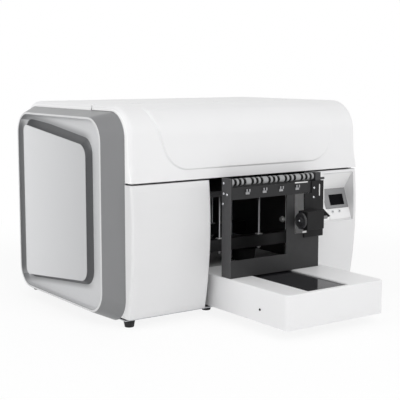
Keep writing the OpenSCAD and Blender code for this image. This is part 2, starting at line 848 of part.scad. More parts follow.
// Section of a bowed panel: radius to the right, the panel's X downwards, front edges rounded
module bow_section(x, inset) {
  r = max(edge_r - inset, skin / 2);
  depth = 2 * frame_r;
  front = bulge_r - inset;
  low = inset - x[1];
  high = -x[0] - inset;
  translate([bulge_r - depth, low]) square([front - r - bulge_r + depth, high - low]);
  translate([front - 2 * r, low + r]) square([2 * r, high - low - 2 * r]);
  for (v = [low + r, high - r]) translate([front - r, v]) circle(r);
}
module bowed(x, inset) {
  sweep = [-20, 12];
  translate([0, bulge_r - bulge, bulge_z]) rotate([90, 0, -90]) rotate([0, 0, sweep[0]])
    rotate_extrude(angle = sweep[1] - sweep[0], $fn = 360) bow_section(x, inset);
}
module lower_panel(x) {
  front = -bulge - cut;
  difference() {
    intersection() {
      bowed(x, 0);
      box(x, [front, band_w], [base_z, panel_top]);
    }
    intersection() {
      bowed(x, skin);
      box(x, [front, band_w + cut], [base_z + skin, panel_top - skin]);
    }
  }
  // Corner of the side face below the frame's round corner, a tongue of the panel's side wall
  along_x([half_w - skin * 0.75, half_w]) difference() {
    translate([band_w - skin, base_z]) square([frame_r + skin, frame_r]);
    side_outline();
  }
}

module left_front_panel() color(white) left() lower_panel([-bay_x0, half_w]);

// Pocket of the control panel in Y and Z; the wall grows it outwards
module pocket_shape(wall) {
  down = [0, -1];
  up = [0, 1];
  slope = unit(pocket_head - [0, pocket_top]);
  slope_out = [-slope.y, slope.x];
  panel_out = [cos(panel_tilt), -sin(panel_tilt)];
  polygon([
    [pocket_out - cut, pocket_top + wall],
    miter([0, pocket_top], up, slope_out, wall),
    miter(pocket_head, slope_out, panel_out, wall),
    miter(pocket_foot, panel_out, down, wall),
    [pocket_out - cut, pocket_foot.y - wall]
  ]);
}
// Frame of the control panel: Z runs up the panel and -Y points out of it
module on_panel()
  translate([pocket_mid, pocket_foot.x, pocket_foot.y]) rotate([-panel_tilt, 0, 0]) children();
module key_places()
  for (x = [-key_pitch / 2, key_pitch / 2]) translate([x - key_shift, 0, key_v]) children();

module right_front_panel() {
  wall_x = [pocket_x[0] - pocket_wall, pocket_x[1] + pocket_wall];
  color(white) difference() {
    union() {
      lower_panel([bay_x1, half_w]);
      intersection() {
        along_x(wall_x) pocket_shape(pocket_wall);
        bowed([bay_x1, half_w], 0);
      }
    }
    along_x(pocket_x) pocket_shape(0);
    on_panel() key_places() rod_along_y(0, [-cut, pocket_wall + cut], 0, key_r + key_gap);
  }
}

module display_bezel() {
  screen_x = [-screen_w / 2, screen_w / 2];
  screen_v = [bezel_v + screen_up, bezel_v + screen_up + screen_h];
  color(grey) on_panel() difference() {
    box([-bezel_w / 2 - bezel_more, bezel_w / 2], [-bezel_t, 0], [bezel_v, bezel_v + bezel_h]);
    box(screen_x, [-bezel_t - cut, cut], screen_v);
  }
}
module display_screen()
  color(black) on_panel() box(
    [-screen_w / 2, screen_w / 2], [-screen_t, 0],
    [bezel_v + screen_up, bezel_v + screen_up + screen_h]
  );
module key_plate()
  color(white) on_panel() difference() {
    box([-bezel_w / 2, bezel_w / 2], [-plate_t, 0], [plate_v, plate_v + plate_h]);
    key_places() rod_along_y(0, [-plate_t - cut, cut], 0, key_r + key_gap);
  }
module key(side)
  color(grey) on_panel() translate([side * key_pitch / 2 - key_shift, 0, key_v])
    rod_along_y(0, [-plate_t - key_proud, pocket_wall], 0, key_r);
module left_key() key(-1);
module right_key() key(1);

// Cover in Y and Z, filled down to a level and back to a depth
module cover_profile(inset, low, back) {
  middle = cover_lean + top_r;
  polygon([[inset, low], [cover_lean + inset, arc_z], [back, arc_z], [back, low]]);
  intersection() {
    translate([middle, arc_z]) circle(top_r - inset, $fn = 96);
    translate([cover_lean, arc_z]) square(top_r);
  }
  translate([middle, arc_z]) square([back - middle, top_r - inset]);
}
// The raised field runs out where its lower rounding crosses the cover's own
module relief_profile() {
  middle = cover_lean + top_r;
  start = arc_z - relief - relief_fade;
  polygon([[-relief, cover_z], [cover_lean - relief, start], [middle, start], [middle, cover_z]]);
  intersection() {
    translate([middle, start]) circle(top_r + relief, $fn = 96);
    translate([cover_lean - relief, start]) square(top_r + relief);
  }
}
module relief_outline() {
  foot = split_z + relief_z;
  rise = (body_h + cut - foot) / (body_h - split_z);
  top_left = [relief_left - relief_slant * rise - half_w, body_h + cut];
  low_left = [relief_left - half_w, foot];
  low_right = [half_w - relief_right, foot];
  top_right = [half_w - relief_right, body_h + cut];
  polygon(concat(
    [top_left],
    bend(top_left, low_left, low_right, relief_r1),
    bend(low_left, low_right, top_right, relief_r2),
    [top_right]
  ));
}
knuckle_x = [-knuckle_pitch, 0, knuckle_pitch];
module top_cover() {
  end_x = half_w - cover_gap;
  slot = knuckle_w / 2 + knuckle_gap;
  color(white) difference() {
    union() {
      difference() {
        union() {
          along_x([-end_x, end_x]) cover_profile(0, cover_z, hinge_y);
          intersection() {
            along_x([-end_x, end_x]) relief_profile();
            along_y([-2 * relief, hinge_y]) relief_outline();
          }
        }
        along_x([skin - end_x, end_x - skin]) cover_profile(skin, cover_z - cut, hinge_y + cut);
        along_x([-half_w, half_w]) side_outline(cover_gap * 2);
      }
      rod_along_x([-end_x, end_x], hinge_y, hinge_z, knuckle_r);
    }
    for (x = knuckle_x)
      box(
        [x - slot, x + slot], [hinge_y - knuckle_r - knuckle_gap, hinge_y + knuckle_r + cut],
        [hinge_z - knuckle_r - cut, body_h + cut]
      );
    rod_along_x([-half_w, half_w], hinge_y, hinge_z, pin_r + run_fit);
  }
}
module hinge_brackets()
  color(steel) for (x = knuckle_x) {
    span = [x - knuckle_w / 2, x + knuckle_w / 2];
    difference() {
      union() {
        rod_along_x(span, hinge_y, hinge_z, knuckle_r);
        box(span, [hinge_y, hinge_y + leaf_d], [hinge_z - knuckle_r / 2, body_h - skin]);
      }
      rod_along_x([span[0] - cut, span[1] + cut], hinge_y, hinge_z, pin_r);
    }
  }
module hinge_pins()
  color(steel) for (x = knuckle_x)
    rod_along_x([x - pin_len / 2, x + pin_len / 2], hinge_y, hinge_z, pin_r);

// Rear of the top in Y and Z, from a depth to the rear face
module rear_profile(inset, front, low) {
  middle = body_d - rear_r;
  translate([front, low]) square([middle - front, body_h - inset - low]);
  if (low < rear_arc_z) translate([middle, low]) square([rear_r - inset, rear_arc_z - low]);
  intersection() {
    translate([middle, rear_arc_z]) circle(rear_r - inset, $fn = 96);
    translate([middle, rear_arc_z]) square(rear_r);
  }
}
module rear_top_panel()
  color(white) difference() {
    along_x([-half_w, half_w]) rear_profile(0, rear_top_y, rear_arc_z);
    along_x([-plate_x, plate_x]) rear_profile(skin, rear_top_y - cut, rear_arc_z - cut);
    along_x([-half_w - cut, half_w + cut]) side_outline();
  }

module fan_guard() {
  bar = 3;
  for (i = [1:3])
    difference() {
      circle(fan_r * (i + 1) / 4 - bar / 2);
      circle(fan_r * i / 4 + bar / 2);
      for (a = [0, 90]) rotate(a) square([2 * fan_r, bar], center = true);
    }
}
module rear_panel() {
  face = body_d - skin;
  vent_drop = 64;
  vent_top = rear_arc_z - vent_drop;
  color(white) difference() {
    union() {
      box([-half_w, half_w], [face, body_d], [base_z, rear_arc_z]);
      both_sides() along_x([plate_x, half_w]) difference() {
        translate([frame_y[1] - frame_r, base_z]) square([frame_r + rear_band, rear_arc_z - base_z]);
        side_outline();
      }
    }
    translate([fan_x, 0, fan_z]) along_y([face - cut, body_d + cut]) fan_guard();
    for (i = [0:vent_n - 1])
      box(
        [bay_mid - vent_w / 2, bay_mid + vent_w / 2], [face - cut, body_d + cut],
        [vent_top - i * vent_pitch - vent_h, vent_top - i * vent_pitch]
      );
    box(inlet_x, [face - cut, body_d + cut], [inlet_z, inlet_z + inlet_h]);
  }
  // Shroud, arms and pin that carry the fan
  arm = 5;
  shroud_r = fan_r + fan_gap;
  color(white) {
    difference() {
      rod_along_y(fan_x, [fan_y, face], fan_z, shroud_r + fan_wall);
      rod_along_y(fan_x, [fan_y - cut, face + cut], fan_z, shroud_r);
    }
    for (a = [90, 210, 330])
      translate([fan_x, fan_y, fan_z]) rotate([0, a, 0])
        box([0, shroud_r + fan_wall / 2], [0, fan_web], [-arm / 2, arm / 2]);
    rod_along_y(fan_x, [fan_y, fan_y + fan_web], fan_z, fan_hub_r - fan_gap);
    rod_along_y(fan_x, [fan_y, face - fan_web], fan_z, fan_pin_r);
  }
}
module fan_rotor() {
  span = [fan_y + fan_web + slide_gap, body_d - skin - fan_back];
  chord = 15;
  sheet = 1.6;
  reach = fan_r - fan_gap / 2;
  color(dark) difference() {
    union() {
      rod_along_y(fan_x, span, fan_z, fan_hub_r);
      for (i = [0:fan_blades - 1])
        translate([fan_x, (span[0] + span[1]) / 2, fan_z]) rotate([0, i * 360 / fan_blades, 0])
          rotate([blade_tilt, 0, 0])
            box([fan_hub_r - fan_gap, reach], [-sheet / 2, sheet / 2], [-chord / 2, chord / 2]);
    }
    rod_along_y(fan_x, [span[0] - cut, span[1] + cut], fan_z, fan_pin_r + run_fit);
  }
}

// Side frames, dishes and accent panels are drawn on the right and mirrored for the left
module side_frame() {
  sheet = 0.5;
  dish_seat = dish_x - dish_t;
  color(grey) difference() {
    hull() {
      along_x([half_w, half_w + sheet], $fn = 32) side_outline();
      along_x([half_w + frame_t - sheet, half_w + frame_t], $fn = 32) rim_outline();
    }
    along_x([dish_seat, half_w + frame_t + cut]) rim_outline(rim_w);
    along_x([half_w - cut, dish_seat - web_t]) rim_outline(rim_w);
  }
}
module left_side_frame() left() side_frame();
module right_side_frame() side_frame();
module dish_panel()
  color(silver) along_x([dish_x - dish_t, dish_x]) rim_outline(rim_w);
module left_dish_panel() left() dish_panel();
module right_dish_panel() dish_panel();
// Accent panel: higher at the rear than at the front, with round corners
module accent_outline(inset, rise = 0, peak = 0) {
  front = rim_y[0] + rim_w + accent_front + inset;
  rear = rim_y[1] - rim_w - accent_rear - inset;
  top = rim_h[1] - rim_w - accent_top - inset;
  low = rim_h[0] + rim_w + accent_low + inset;
  corners = [
    [front, low + accent_slant], [rear, low], [rear, top + peak], [front, top - accent_slant + rise]
  ];
  radii = [accent_r1, accent_r2, accent_r2, accent_r1] - inset * [1, 1, 1, 1];
  polygon([
    for (i = [0:3]) each bend(corners[(i + 3) % 4], corners[i], corners[(i + 1) % 4], radii[i])
  ]);
}
module accent_panel() {
  sheet = 0.5;
  top_x = dish_x + accent_t;
  color(silver) difference() {
    hull() {
      along_x([dish_x, dish_x + sheet]) accent_outline(-accent_flank, accent_rise, accent_peak);
      along_x([top_x - sheet, top_x]) accent_outline(0);
    }
    along_x([dish_x - cut, top_x - accent_wall]) accent_outline(accent_wall);
  }
}
module left_accent_panel() left() accent_panel();
module right_accent_panel() accent_panel();

module tray_outline(inset) {
  u = [tray_x0 + inset, tray_x1 - inset];
  v = [inset - tray_out, tray_in - inset];
  rounded(u, v, tray_r - inset);
}
// The tray is slipped over the base pan's tongue and screwed to its two flanges
module front_tray()
  color(white) difference() {
    along_z([base_z, tray_top]) tray_outline(0);
    along_z([base_z - cut, tray_top - tray_wall]) tray_outline(tray_wall);
    box(slot_x, slot_y, [tray_top - tray_wall - cut, tray_top + cut]);
  }
module slot_window()
  color(black) box(
    [slot_x[0] - slot_lip, slot_x[1] + slot_lip], [slot_y[0] - slot_lip, slot_y[1] + slot_lip],
    [tray_top - tray_wall - slot_t, tray_top - tray_wall]
  );

// Folded sheet stand of the roll feeder: front plate with two windows, side plates and a sole
module feeder_frame() {
  s = feeder_sheet;
  side_window = [feeder_x1 - front_rest - side_window_w, feeder_x1 - front_rest];
  window = [feeder_x0 + s, side_window[0] - post_w];
  left_top = bar_top + block_h;
  color(dark) difference() {
    union() {
      box([feeder_x0, feeder_x1], [feeder_y, feeder_y + s], [tray_top, bar_low]);
      box([feeder_x0, feeder_x1], [feeder_y, feeder_rear], [tray_top, tray_top + s]);
      box([feeder_x0, feeder_x0 + s], [feeder_y, feeder_rear], [tray_top, left_top]);
      box([feeder_x1 - s, feeder_x1], [feeder_y, feeder_rear], [tray_top, bar_low]);
    }
    box(window, [feeder_y - cut, feeder_y + s + cut], [tray_top + window_z, bar_low + cut]);
    box(side_window, [feeder_y - cut, feeder_y + s + cut], [bar_low - side_window_h, bar_low + cut]);
    rod_along_x([feeder_x1 - s - cut, feeder_x1 + cut], lever_axis_y, lever_axis_z, lever_pin_r + run_fit);
  }
}
module feeder_bar() {
  s = feeder_sheet;
  color(dark) difference() {
    box(bar_x, [feeder_y, feeder_y + bar_d], [bar_low, bar_top]);
    box(
      [bar_x[0] - cut, bar_x[1] + cut], [feeder_y + s, feeder_y + bar_d - s], [bar_low + s, bar_top - s]
    );
  }
}
module bearing_blocks() {
  right = [block_x1, block_x1 + block_right];
  color(dark) {
    difference() {
      for (x = [[bar_x[0], bar_x[0] + block_left], right])
        box(x, [feeder_y, feeder_y + bar_d], [bar_top, bar_top + block_h]);
      rod_along_x([bar_x[0] - cut, bar_x[1] + cut], roller_y, roller_z, shaft_r + run_fit);
    }
    rod_along_x([right[1] - cut, right[1] + guide_pin_len], roller_y, bar_top + guide_pin_up, guide_pin_r);
  }
}
module feed_roller()
  color(black) {
    rod_along_x(core_x, roller_y, roller_z, core_r);
    rod_along_x([bar_x[0] + slide_gap, block_x1 + block_right + stub], roller_y, roller_z, shaft_r);
  }
module roller_sleeves()
  color(grey) for (i = [0:sleeve_end]) {
    span = [sleeve_start(i), sleeve_start(i) + sleeves[i]];
    difference() {
      rod_along_x(span, roller_y, roller_z, core_r + sleeve_t);
      rod_along_x([span[0] - cut, span[1] + cut], roller_y, roller_z, core_r);
    }
  }
// Bent spring sheet on the cross bar: a foot and two raised fingers
module pinch_clips() {
  above = 3;
  mid_z = (bar_low + bar_top) / 2 + above;
  finger = clip_w * 0.3;
  rise = 4;
  color(silver) for (x = clip_x) {
    box([x - clip_w / 2, x + clip_w / 2], [feeder_y - clip_t, feeder_y], [mid_z - clip_h / 2, mid_z]);
    for (side = [[x - clip_w / 2, x - clip_w / 2 + finger], [x + clip_w / 2 - finger, x + clip_w / 2]]) {
      box(side, [feeder_y - rise, feeder_y - clip_t], [mid_z - clip_t, mid_z]);
      box(side, [feeder_y - rise - clip_t, feeder_y - rise], [mid_z - clip_t, mid_z + clip_h / 2]);
    }
  }
}
module motor_bracket()
  color(dark) {
    box(bracket_x, [bracket_y, feeder_y], [tray_top + bracket_z, bar_low]);
    box([bracket_x[1] - arm_w, bracket_x[1]], [bracket_y, feeder_y], [bar_low, bar_top]);
  }
module takeup_motor() {
  low = takeup_axis_z - motor_h / 2;
  cap = 6;
  color(dark) difference() {
    union() {
      box(motor_x, [bracket_y - motor_d, bracket_y], [low, low + motor_h]);
      rod_along_x([motor_x[1], motor_x[1] + cap], takeup_y, takeup_axis_z, motor_d / 2 - cap);
    }
    rod_along_x(
      [motor_x[0] - cut, motor_x[0] + takeup_in + cut], takeup_y, takeup_axis_z, takeup_r + run_fit
    );
  }
}
module takeup_flange()
  color(dark) {
    rod_along_x([flange_x1 - flange_t, flange_x1], takeup_y, takeup_axis_z, flange_r);
    rod_along_x([flange_x1 - flange_t - hub_t, flange_x1 - flange_t], takeup_y, takeup_axis_z, hub_r);
    rod_along_x([flange_x1, motor_x[0] + takeup_in], takeup_y, takeup_axis_z, takeup_r);
  }
module release_lever() {
  x0 = lever_x + lever_hub_w;
  pin_x = feeder_x1 - feeder_sheet - lever_pin_end;
  root = [lever_axis_z - lever_root / 2, lever_axis_z + lever_root / 2];
  color(black) {
    rod_along_x([pin_x, lever_x], lever_axis_y, lever_axis_z, lever_pin_r);
    rod_along_x([lever_x, x0], lever_axis_y, lever_axis_z, lever_hub_r);
    along_y([lever_axis_y - lever_t / 2, lever_axis_y + lever_t / 2])
      polygon([[x0, root[0]], [x0 + lever_len, root[0] + lever_tip], [x0, root[1]]]);
  }
}
// Pan heads on the feeder and the tray, and the hex bolt on the bay's right wall
module screws() {
  // Shares of the left plate's depth and of the bar's height, above the bar's lower edge
  plate_places = [[0.78, 1.29], [0.78, 0.45], [0.41, 0.4], [0.87, -0.4]];
  // Shares of the bracket's width from its right edge, and of the bar's height
  bracket_places = [[0.53, -0.37], [0.51, 0.42]];
  left_face = [feeder_x0 - screw_t, feeder_x0];
  bracket_face = [bracket_y - screw_t, bracket_y];
  tray_y = -tray_out * 0.64;
  tray_z = base_z + tray_h * 0.38;
  bolt_t = 8;
  bolt_up = 24;
  bolt_r = 2.6 * screw_r;
  color(steel) {
    for (p = plate_places)
      rod_along_x(left_face, feeder_y + feeder_d * p.x, bar_low + bar_h * p.y, screw_r);
    for (p = bracket_places)
      rod_along_y(bracket_x[1] - bracket_w * p.x, bracket_face, bar_low + bar_h * p.y, screw_r);
    rod_along_x([tray_x0 - screw_t, tray_x0], tray_y, tray_z, screw_r);
    rod_along_x([tray_x1, tray_x1 + screw_t], tray_y, tray_z, screw_r);
    translate([bay_in1 - bolt_t, lift_y, beam_top + bolt_up]) rotate([0, 90, 0])
      cylinder(h = bolt_t, r = bolt_r, $fn = 6);
  }
}

module lift_beams()
  color(dark) difference() {
    for (y = [rod_y, rod_y + rod_span_y])
      box([bay_in0, bay_in1], [y - beam_d / 2, y + beam_d / 2], [beam_low, beam_top]);
    for (p = rods) rod_along_z(p.x, p.y, [beam_low - cut, beam_top + cut], bush_r);
  }
module lift_bushings()
  color(steel) for (p = rods) difference() {
    union() {
      rod_along_z(p.x, p.y, [beam_low, beam_top], bush_r);
      rod_along_z(p.x, p.y, [beam_top, beam_top + bush_flange_t], bush_flange_r);
    }
    rod_along_z(p.x, p.y, [beam_low - cut, beam_top + bush_flange_t + cut], rod_r + run_fit);
  }
module guide_rods() {
  stop = beam_low - stop_gap;
  color(steel) for (p = rods) {
    rod_along_z(p.x, p.y, [stop - collar_h - rod_tail, platform_z], rod_r);
    rod_along_z(p.x, p.y, [stop - collar_h, stop], collar_r);
  }
}
module lift_platform() {
  x = [bed_x[0] + bed_over, bed_x[1] - bed_over];
  y = [bed_y[0] + bed_over, bed_y[1] - bed_over];
  color(dark) box(x, y, [platform_z, platform_z + platform_t]);
}
module print_bed() color(dark) box(bed_x, bed_y, [bed_z - bed_t, bed_z]);
module lift_motor() {
  w = lift_motor_w / 2;
  beam_y = rod_y + beam_d / 2;
  color(black) difference() {
    union() {
      box([rod_x_mid - w, rod_x_mid + w], [lift_y - w, lift_y + w], [beam_top - lift_motor_h, beam_top]);
      box(
        [rod_x_mid - w - lift_bracket_t, rod_x_mid + w + lift_bracket_t],
        [beam_y, beam_y + lift_bracket_t], [beam_low, beam_top]
      );
    }
    rod_along_z(
      rod_x_mid, lift_y, [beam_top - lift_motor_h - cut, beam_top + cut], lift_screw_r + slide_gap
    );
  }
}
module lift_screw()
  color(steel)
    rod_along_z(rod_x_mid, lift_y, [beam_top - lift_motor_h - lift_tail, platform_z], lift_screw_r);

// Box beam between the side plates, with the lug and pin of the belt's idler
module gantry_beam() {
  lug_w = 30;
  lug = [-pulley_x - lug_w / 2, lug_w / 2 - pulley_x];
  color(silver) {
    difference() {
      box([-plate_x, plate_x], [gantry_y, gantry_y + gantry_d], [gantry_z, gantry_top]);
      box(
        [-half_w, half_w], [gantry_y + gantry_wall, gantry_y + gantry_d - gantry_wall],
        [gantry_z + gantry_wall, gantry_top - gantry_wall]
      );
    }
    box(lug, [gantry_y, gantry_y + lug_w], [gantry_top, pulley_z + lug_w / 2]);
    rod_along_y(-pulley_x, [belt_y[0], gantry_y], pulley_z, pulley_shaft_r);
  }
}
module x_rail()
  color(steel) box(
    [rail_end - plate_x, plate_x - rail_end], [gantry_y - rail_s, gantry_y],
    [rail_z - rail_s / 2, rail_z + rail_s / 2]
  );
module rail_block() {
  arm = rail_s * 0.75;
  grip = rail_s / 2 + slide_gap;
  color(steel) difference() {
    box(
      [home_x - runner_w / 2, home_x + runner_w / 2], [runner_y, gantry_y - rail_s + arm],
      [rail_z - grip - runner_wall, rail_z + grip + runner_wall]
    );
    box(
      [home_x - runner_w, home_x + runner_w], [gantry_y - rail_s - slide_gap, gantry_y],
      [rail_z - grip, rail_z + grip]
    );
  }
}
// Middles of the two print heads
head_x = [home_x + head_w / 2 - head_reach, home_x - head_w / 2 + head_reach];
module print_carriage() {
  x = [home_x - carriage_w / 2, home_x + carriage_w / 2];
  clamp_z = [belt_low + belt_t / 2 - clamp_h / 2, belt_low + belt_t / 2 + clamp_h / 2];
  color(dark) difference() {
    union() {
      box(x, [back_y, runner_y], [tub_z, gantry_top]);
      box(x, [tub_y, back_y], [tub_z, tub_z + tub_h]);
      box([home_x - clamp_w, home_x + clamp_w], [back_y, runner_y], [gantry_top, clamp_z[1]]);
      box(
        [home_x - clamp_w / 2, home_x + clamp_w / 2], [back_y, belt_y[1] + tub_wall], clamp_z
      );
    }
    box(
      [x[0] + tub_wall, x[1] - tub_wall], [tub_y + tub_wall, back_y],
      [tub_z + tub_wall, tub_z + tub_h + cut]
    );
    for (h = head_x)
      box(
        [h - head_w / 2 + nozzle_in, h + head_w / 2 - nozzle_in],
        [head_y + nozzle_in, head_y + head_d - nozzle_in], [tub_z - cut, tub_z + tub_wall + cut]
      );
    box(
      [home_x - clamp_w, home_x + clamp_w], [belt_y[0] - slide_gap, belt_y[1] + slide_gap],
      [belt_low - slide_gap, belt_low + belt_t + slide_gap]
    );
  }
}
module print_heads()
  color(silver) for (h = head_x) {
    floor_z = tub_z + tub_wall;
    box([h - head_w / 2, h + head_w / 2], [head_y, head_y + head_d], [floor_z, floor_z + head_h]);
    box(
      [h - head_w / 2 + nozzle_in, h + head_w / 2 - nozzle_in],
      [head_y + nozzle_in, head_y + head_d - nozzle_in], [nozzle_z, floor_z]
    );
  }
// Finned lamp housings on both ends of the carriage
module uv_lamps() {
  fin = 3;
  pitch = 8;
  inset = 5;
  low = nozzle_z + nozzle_out;
  fin_low = low + lamp_h * 0.7;
  y = [tub_y + inset, tub_y + inset + lamp_d];
  for (side = [-1, 1]) {
    x0 = home_x + side * carriage_w / 2;
    x1 = x0 + side * lamp_w;
    color(black) difference() {
      box([min(x0, x1), max(x0, x1)], y, [low, low + lamp_h]);
      for (i = [0:floor(lamp_d / pitch) - 1])
        box(
          [min(x0, x1) - cut, max(x0, x1) + cut], [y[0] + fin + i * pitch, y[0] + pitch + i * pitch],
          [fin_low, low + lamp_h + cut]
        );
    }
  }
}

module belt_loop(r) {
  for (x = [-pulley_x, pulley_x]) translate([x, pulley_z]) circle(r);
  translate([-pulley_x, pulley_z - r]) square([2 * pulley_x, 2 * r]);
}
module drive_belt()
  color(black) along_y(belt_y) difference() {
    belt_loop(belt_r + belt_t);
    belt_loop(belt_r);
  }
module pulley(x)
  color(steel) difference() {
    union() {
      rod_along_y(x, [belt_y[0] - slide_gap, belt_y[1] + slide_gap], pulley_z, belt_r - slide_gap);
      for (y = [belt_y[0] - slide_gap - pulley_flange, belt_y[1] + slide_gap])
        rod_along_y(x, [y, y + pulley_flange], pulley_z, belt_r + pulley_lip);
    }
    rod_along_y(x, [belt_y[0] - belt_w, belt_y[1] + belt_w], pulley_z, pulley_shaft_r + run_fit);
  }
module drive_pulley() pulley(pulley_x);
module idler_pulley() pulley(-pulley_x);
module x_motor() {
  w = x_motor_w / 2;
  y = [gantry_y + pulley_flange, gantry_y + pulley_flange + x_motor_d];
  margin = 4;
  seat = w + margin;
  color(black) {
    box([pulley_x - w, pulley_x + w], y, [pulley_z - w, pulley_z + w]);
    box(
      [pulley_x - seat, pulley_x + seat], [gantry_y, gantry_y + gantry_d], [gantry_top, gantry_top + x_seat]
    );
    rod_along_y(pulley_x, [belt_y[0], y[0]], pulley_z, pulley_shaft_r);
  }
}

module capping_station() {
  y = [head_y + head_d / 2 - cap_d / 2, head_y + head_d / 2 + cap_d / 2];
  pad_top = nozzle_z - cap_gap;
  color(dark) box([home_x - cap_w / 2, home_x + cap_w / 2], y, [shelf_z, pad_top - pad_h]);
  color(black) for (h = head_x)
    difference() {
      box([h - head_w / 2, h + head_w / 2], [head_y, head_y + head_d], [pad_top - pad_h, pad_top]);
      box(
        [h - head_w / 2 + tub_wall, h + head_w / 2 - tub_wall],
        [head_y + tub_wall, head_y + head_d - tub_wall], [pad_top - pad_h / 2, pad_top + cut]
      );
    }
}
module ink_tanks() {
  x0 = tank_side - plate_x;
  margin = 10;
  y = shelf_y + margin;
  cap_h = 10;
  color(silver) for (i = [0:tank_n - 1]) {
    x = x0 + i * tank_pitch;
    box([x, x + tank_w], [y, y + tank_d], [shelf_z, shelf_z + tank_h]);
    rod_along_z(x + tank_w / 2, y + tank_d / 3, [shelf_z + tank_h, shelf_z + tank_h + cap_h], tank_cap_r);
  }
}
module main_board() {
  x = [board_in - plate_x, board_in - plate_x + board_w];
  y = [band_w + board_y, band_w + board_y + board_d];
  z = pan_top + standoff_h;
  board_t = 2;
  edge = 8;
  color(green) {
    box(x, y, [z, z + board_t]);
    for (a = [x[0] + edge, x[1] - edge], b = [y[0] + edge, y[1] - edge])
      rod_along_z(a, b, [pan_top, z], edge / 2);
    for (i = [0:3])
      box(
        [x[0] + 2 * edge + i * board_w / 5, x[0] + 2 * edge + i * board_w / 5 + board_w / 8],
        [y[0] + board_d / 4, y[0] + board_d / 2], [z + board_t, z + board_t + edge]
      );
  }
}
module power_supply() {
  x0 = board_in - plate_x;
  y1 = body_d - skin - supply_y;
  color(steel) box([x0, x0 + supply_w], [y1 - supply_d, y1], [pan_top, pan_top + supply_h]);
}

// Mains inlet and rocker in one housing in the rear panel
module power_inlet() {
  socket_x = [inlet_x[0] + inlet_wall, inlet_x[0] + inlet_wall + socket_w];
  in_z = [inlet_z + inlet_wall, inlet_z + inlet_h - inlet_wall];
  floor_y = inlet_y[1] - socket_d;
  well_y = floor_y - rocker_pin_r * 2;
  well = rocker_w / 2 + slide_gap * 3;
  pivot = well + rocker_pin_r * 4 / 3;
  blade = [2, 12, 5];
  blade_pitch = 8;
  blade_rise = [-3, 4, -3];
  color(black) difference() {
    box(inlet_x, inlet_y, [inlet_z, inlet_z + inlet_h]);
    box(socket_x, [floor_y, inlet_y[1] + cut], in_z);
    box([rocker_x - well, rocker_x + well], [well_y, inlet_y[1] + cut], in_z);
    rod_along_x([rocker_x - pivot, rocker_x + pivot], rocker_y, rocker_z, rocker_pin_r + run_fit);
  }
  color(steel) for (i = [0:2]) {
    x = (socket_x[0] + socket_x[1]) / 2 + (i - 1) * blade_pitch;
    z = rocker_z + blade_rise[i];
    box(
      [x - blade[0] / 2, x + blade[0] / 2], [floor_y, floor_y + blade[1]],
      [z - blade[2] / 2, z + blade[2] / 2]
    );
  }
}
module power_switch() {
  reach = rocker_h / 2;
  crown = 6;
  shoulder = 4;
  heel = [3, 5];
  tip = crown + reach * tan(rocker_tilt);
  pivot = rocker_w / 2 + slide_gap * 6;
  color(black) {
    translate([0, rocker_y, rocker_z]) rotate([rocker_tilt, 0, 0])
      along_x([rocker_x - rocker_w / 2, rocker_x + rocker_w / 2])
        polygon([
          [-heel.x, -heel.y], [shoulder, -reach], [tip, -reach], [crown, 0],
          [tip, reach], [shoulder, reach], [-heel.x, heel.y]
        ]);
    rod_along_x([rocker_x - pivot, rocker_x + pivot], rocker_y, rocker_z, rocker_pin_r);
  }
}

place() base_pan();
place() rubber_feet();
place() side_plates();
place() bay_walls();
place() left_front_panel();
place() right_front_panel();
place() rear_panel();
place() rear_top_panel();
place() top_cover();
place() hinge_brackets();
place() hinge_pins();
place() left_side_frame();
place() right_side_frame();
place() left_dish_panel();
place() right_dish_panel();
place() left_accent_panel();
place() right_accent_panel();
place() display_bezel();
place() display_screen();
place() key_plate();
place() left_key();
place() right_key();
place() front_tray();
place() slot_window();
place() feeder_frame();
place() feeder_bar();
place() bearing_blocks();
place() feed_roller();
place() roller_sleeves();
place() pinch_clips();
place() motor_bracket();
place() takeup_motor();
place() takeup_flange();
place() release_lever();
place() screws();
place() lift_beams();
place() lift_bushings();
place() guide_rods();
place() lift_platform();
place() print_bed();
place() lift_motor();
place() lift_screw();
place() gantry_beam();
place() x_rail();
place() rail_block();
place() print_carriage();
place() print_heads();
place() uv_lamps();
place() drive_belt();
place() drive_pulley();
place() idler_pulley();
place() x_motor();
place() capping_station();
place() ink_tanks();
place() main_board();
place() power_supply();
place() fan_rotor();
place() power_inlet();
place() power_switch();
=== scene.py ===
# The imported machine, in metres, is the frame on which every piece below is set.
# Its box is kept, so that the finished model can be measured against it.
import bmesh
import bpy
import numpy as np
from math import pi, radians, tan
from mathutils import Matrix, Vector


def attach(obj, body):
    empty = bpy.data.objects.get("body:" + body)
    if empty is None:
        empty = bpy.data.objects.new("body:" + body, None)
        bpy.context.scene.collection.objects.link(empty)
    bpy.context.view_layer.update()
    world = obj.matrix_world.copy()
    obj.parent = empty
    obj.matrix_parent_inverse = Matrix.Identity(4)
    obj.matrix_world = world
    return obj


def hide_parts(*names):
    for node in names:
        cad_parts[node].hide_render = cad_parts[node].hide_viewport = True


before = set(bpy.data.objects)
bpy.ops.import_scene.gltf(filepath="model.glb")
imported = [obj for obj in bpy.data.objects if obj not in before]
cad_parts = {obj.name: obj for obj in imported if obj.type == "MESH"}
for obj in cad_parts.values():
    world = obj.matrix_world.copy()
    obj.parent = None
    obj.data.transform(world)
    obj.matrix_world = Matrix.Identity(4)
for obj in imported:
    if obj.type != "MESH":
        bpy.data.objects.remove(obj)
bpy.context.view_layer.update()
scene = bpy.context.scene
scene.view_settings.view_transform = "Standard"


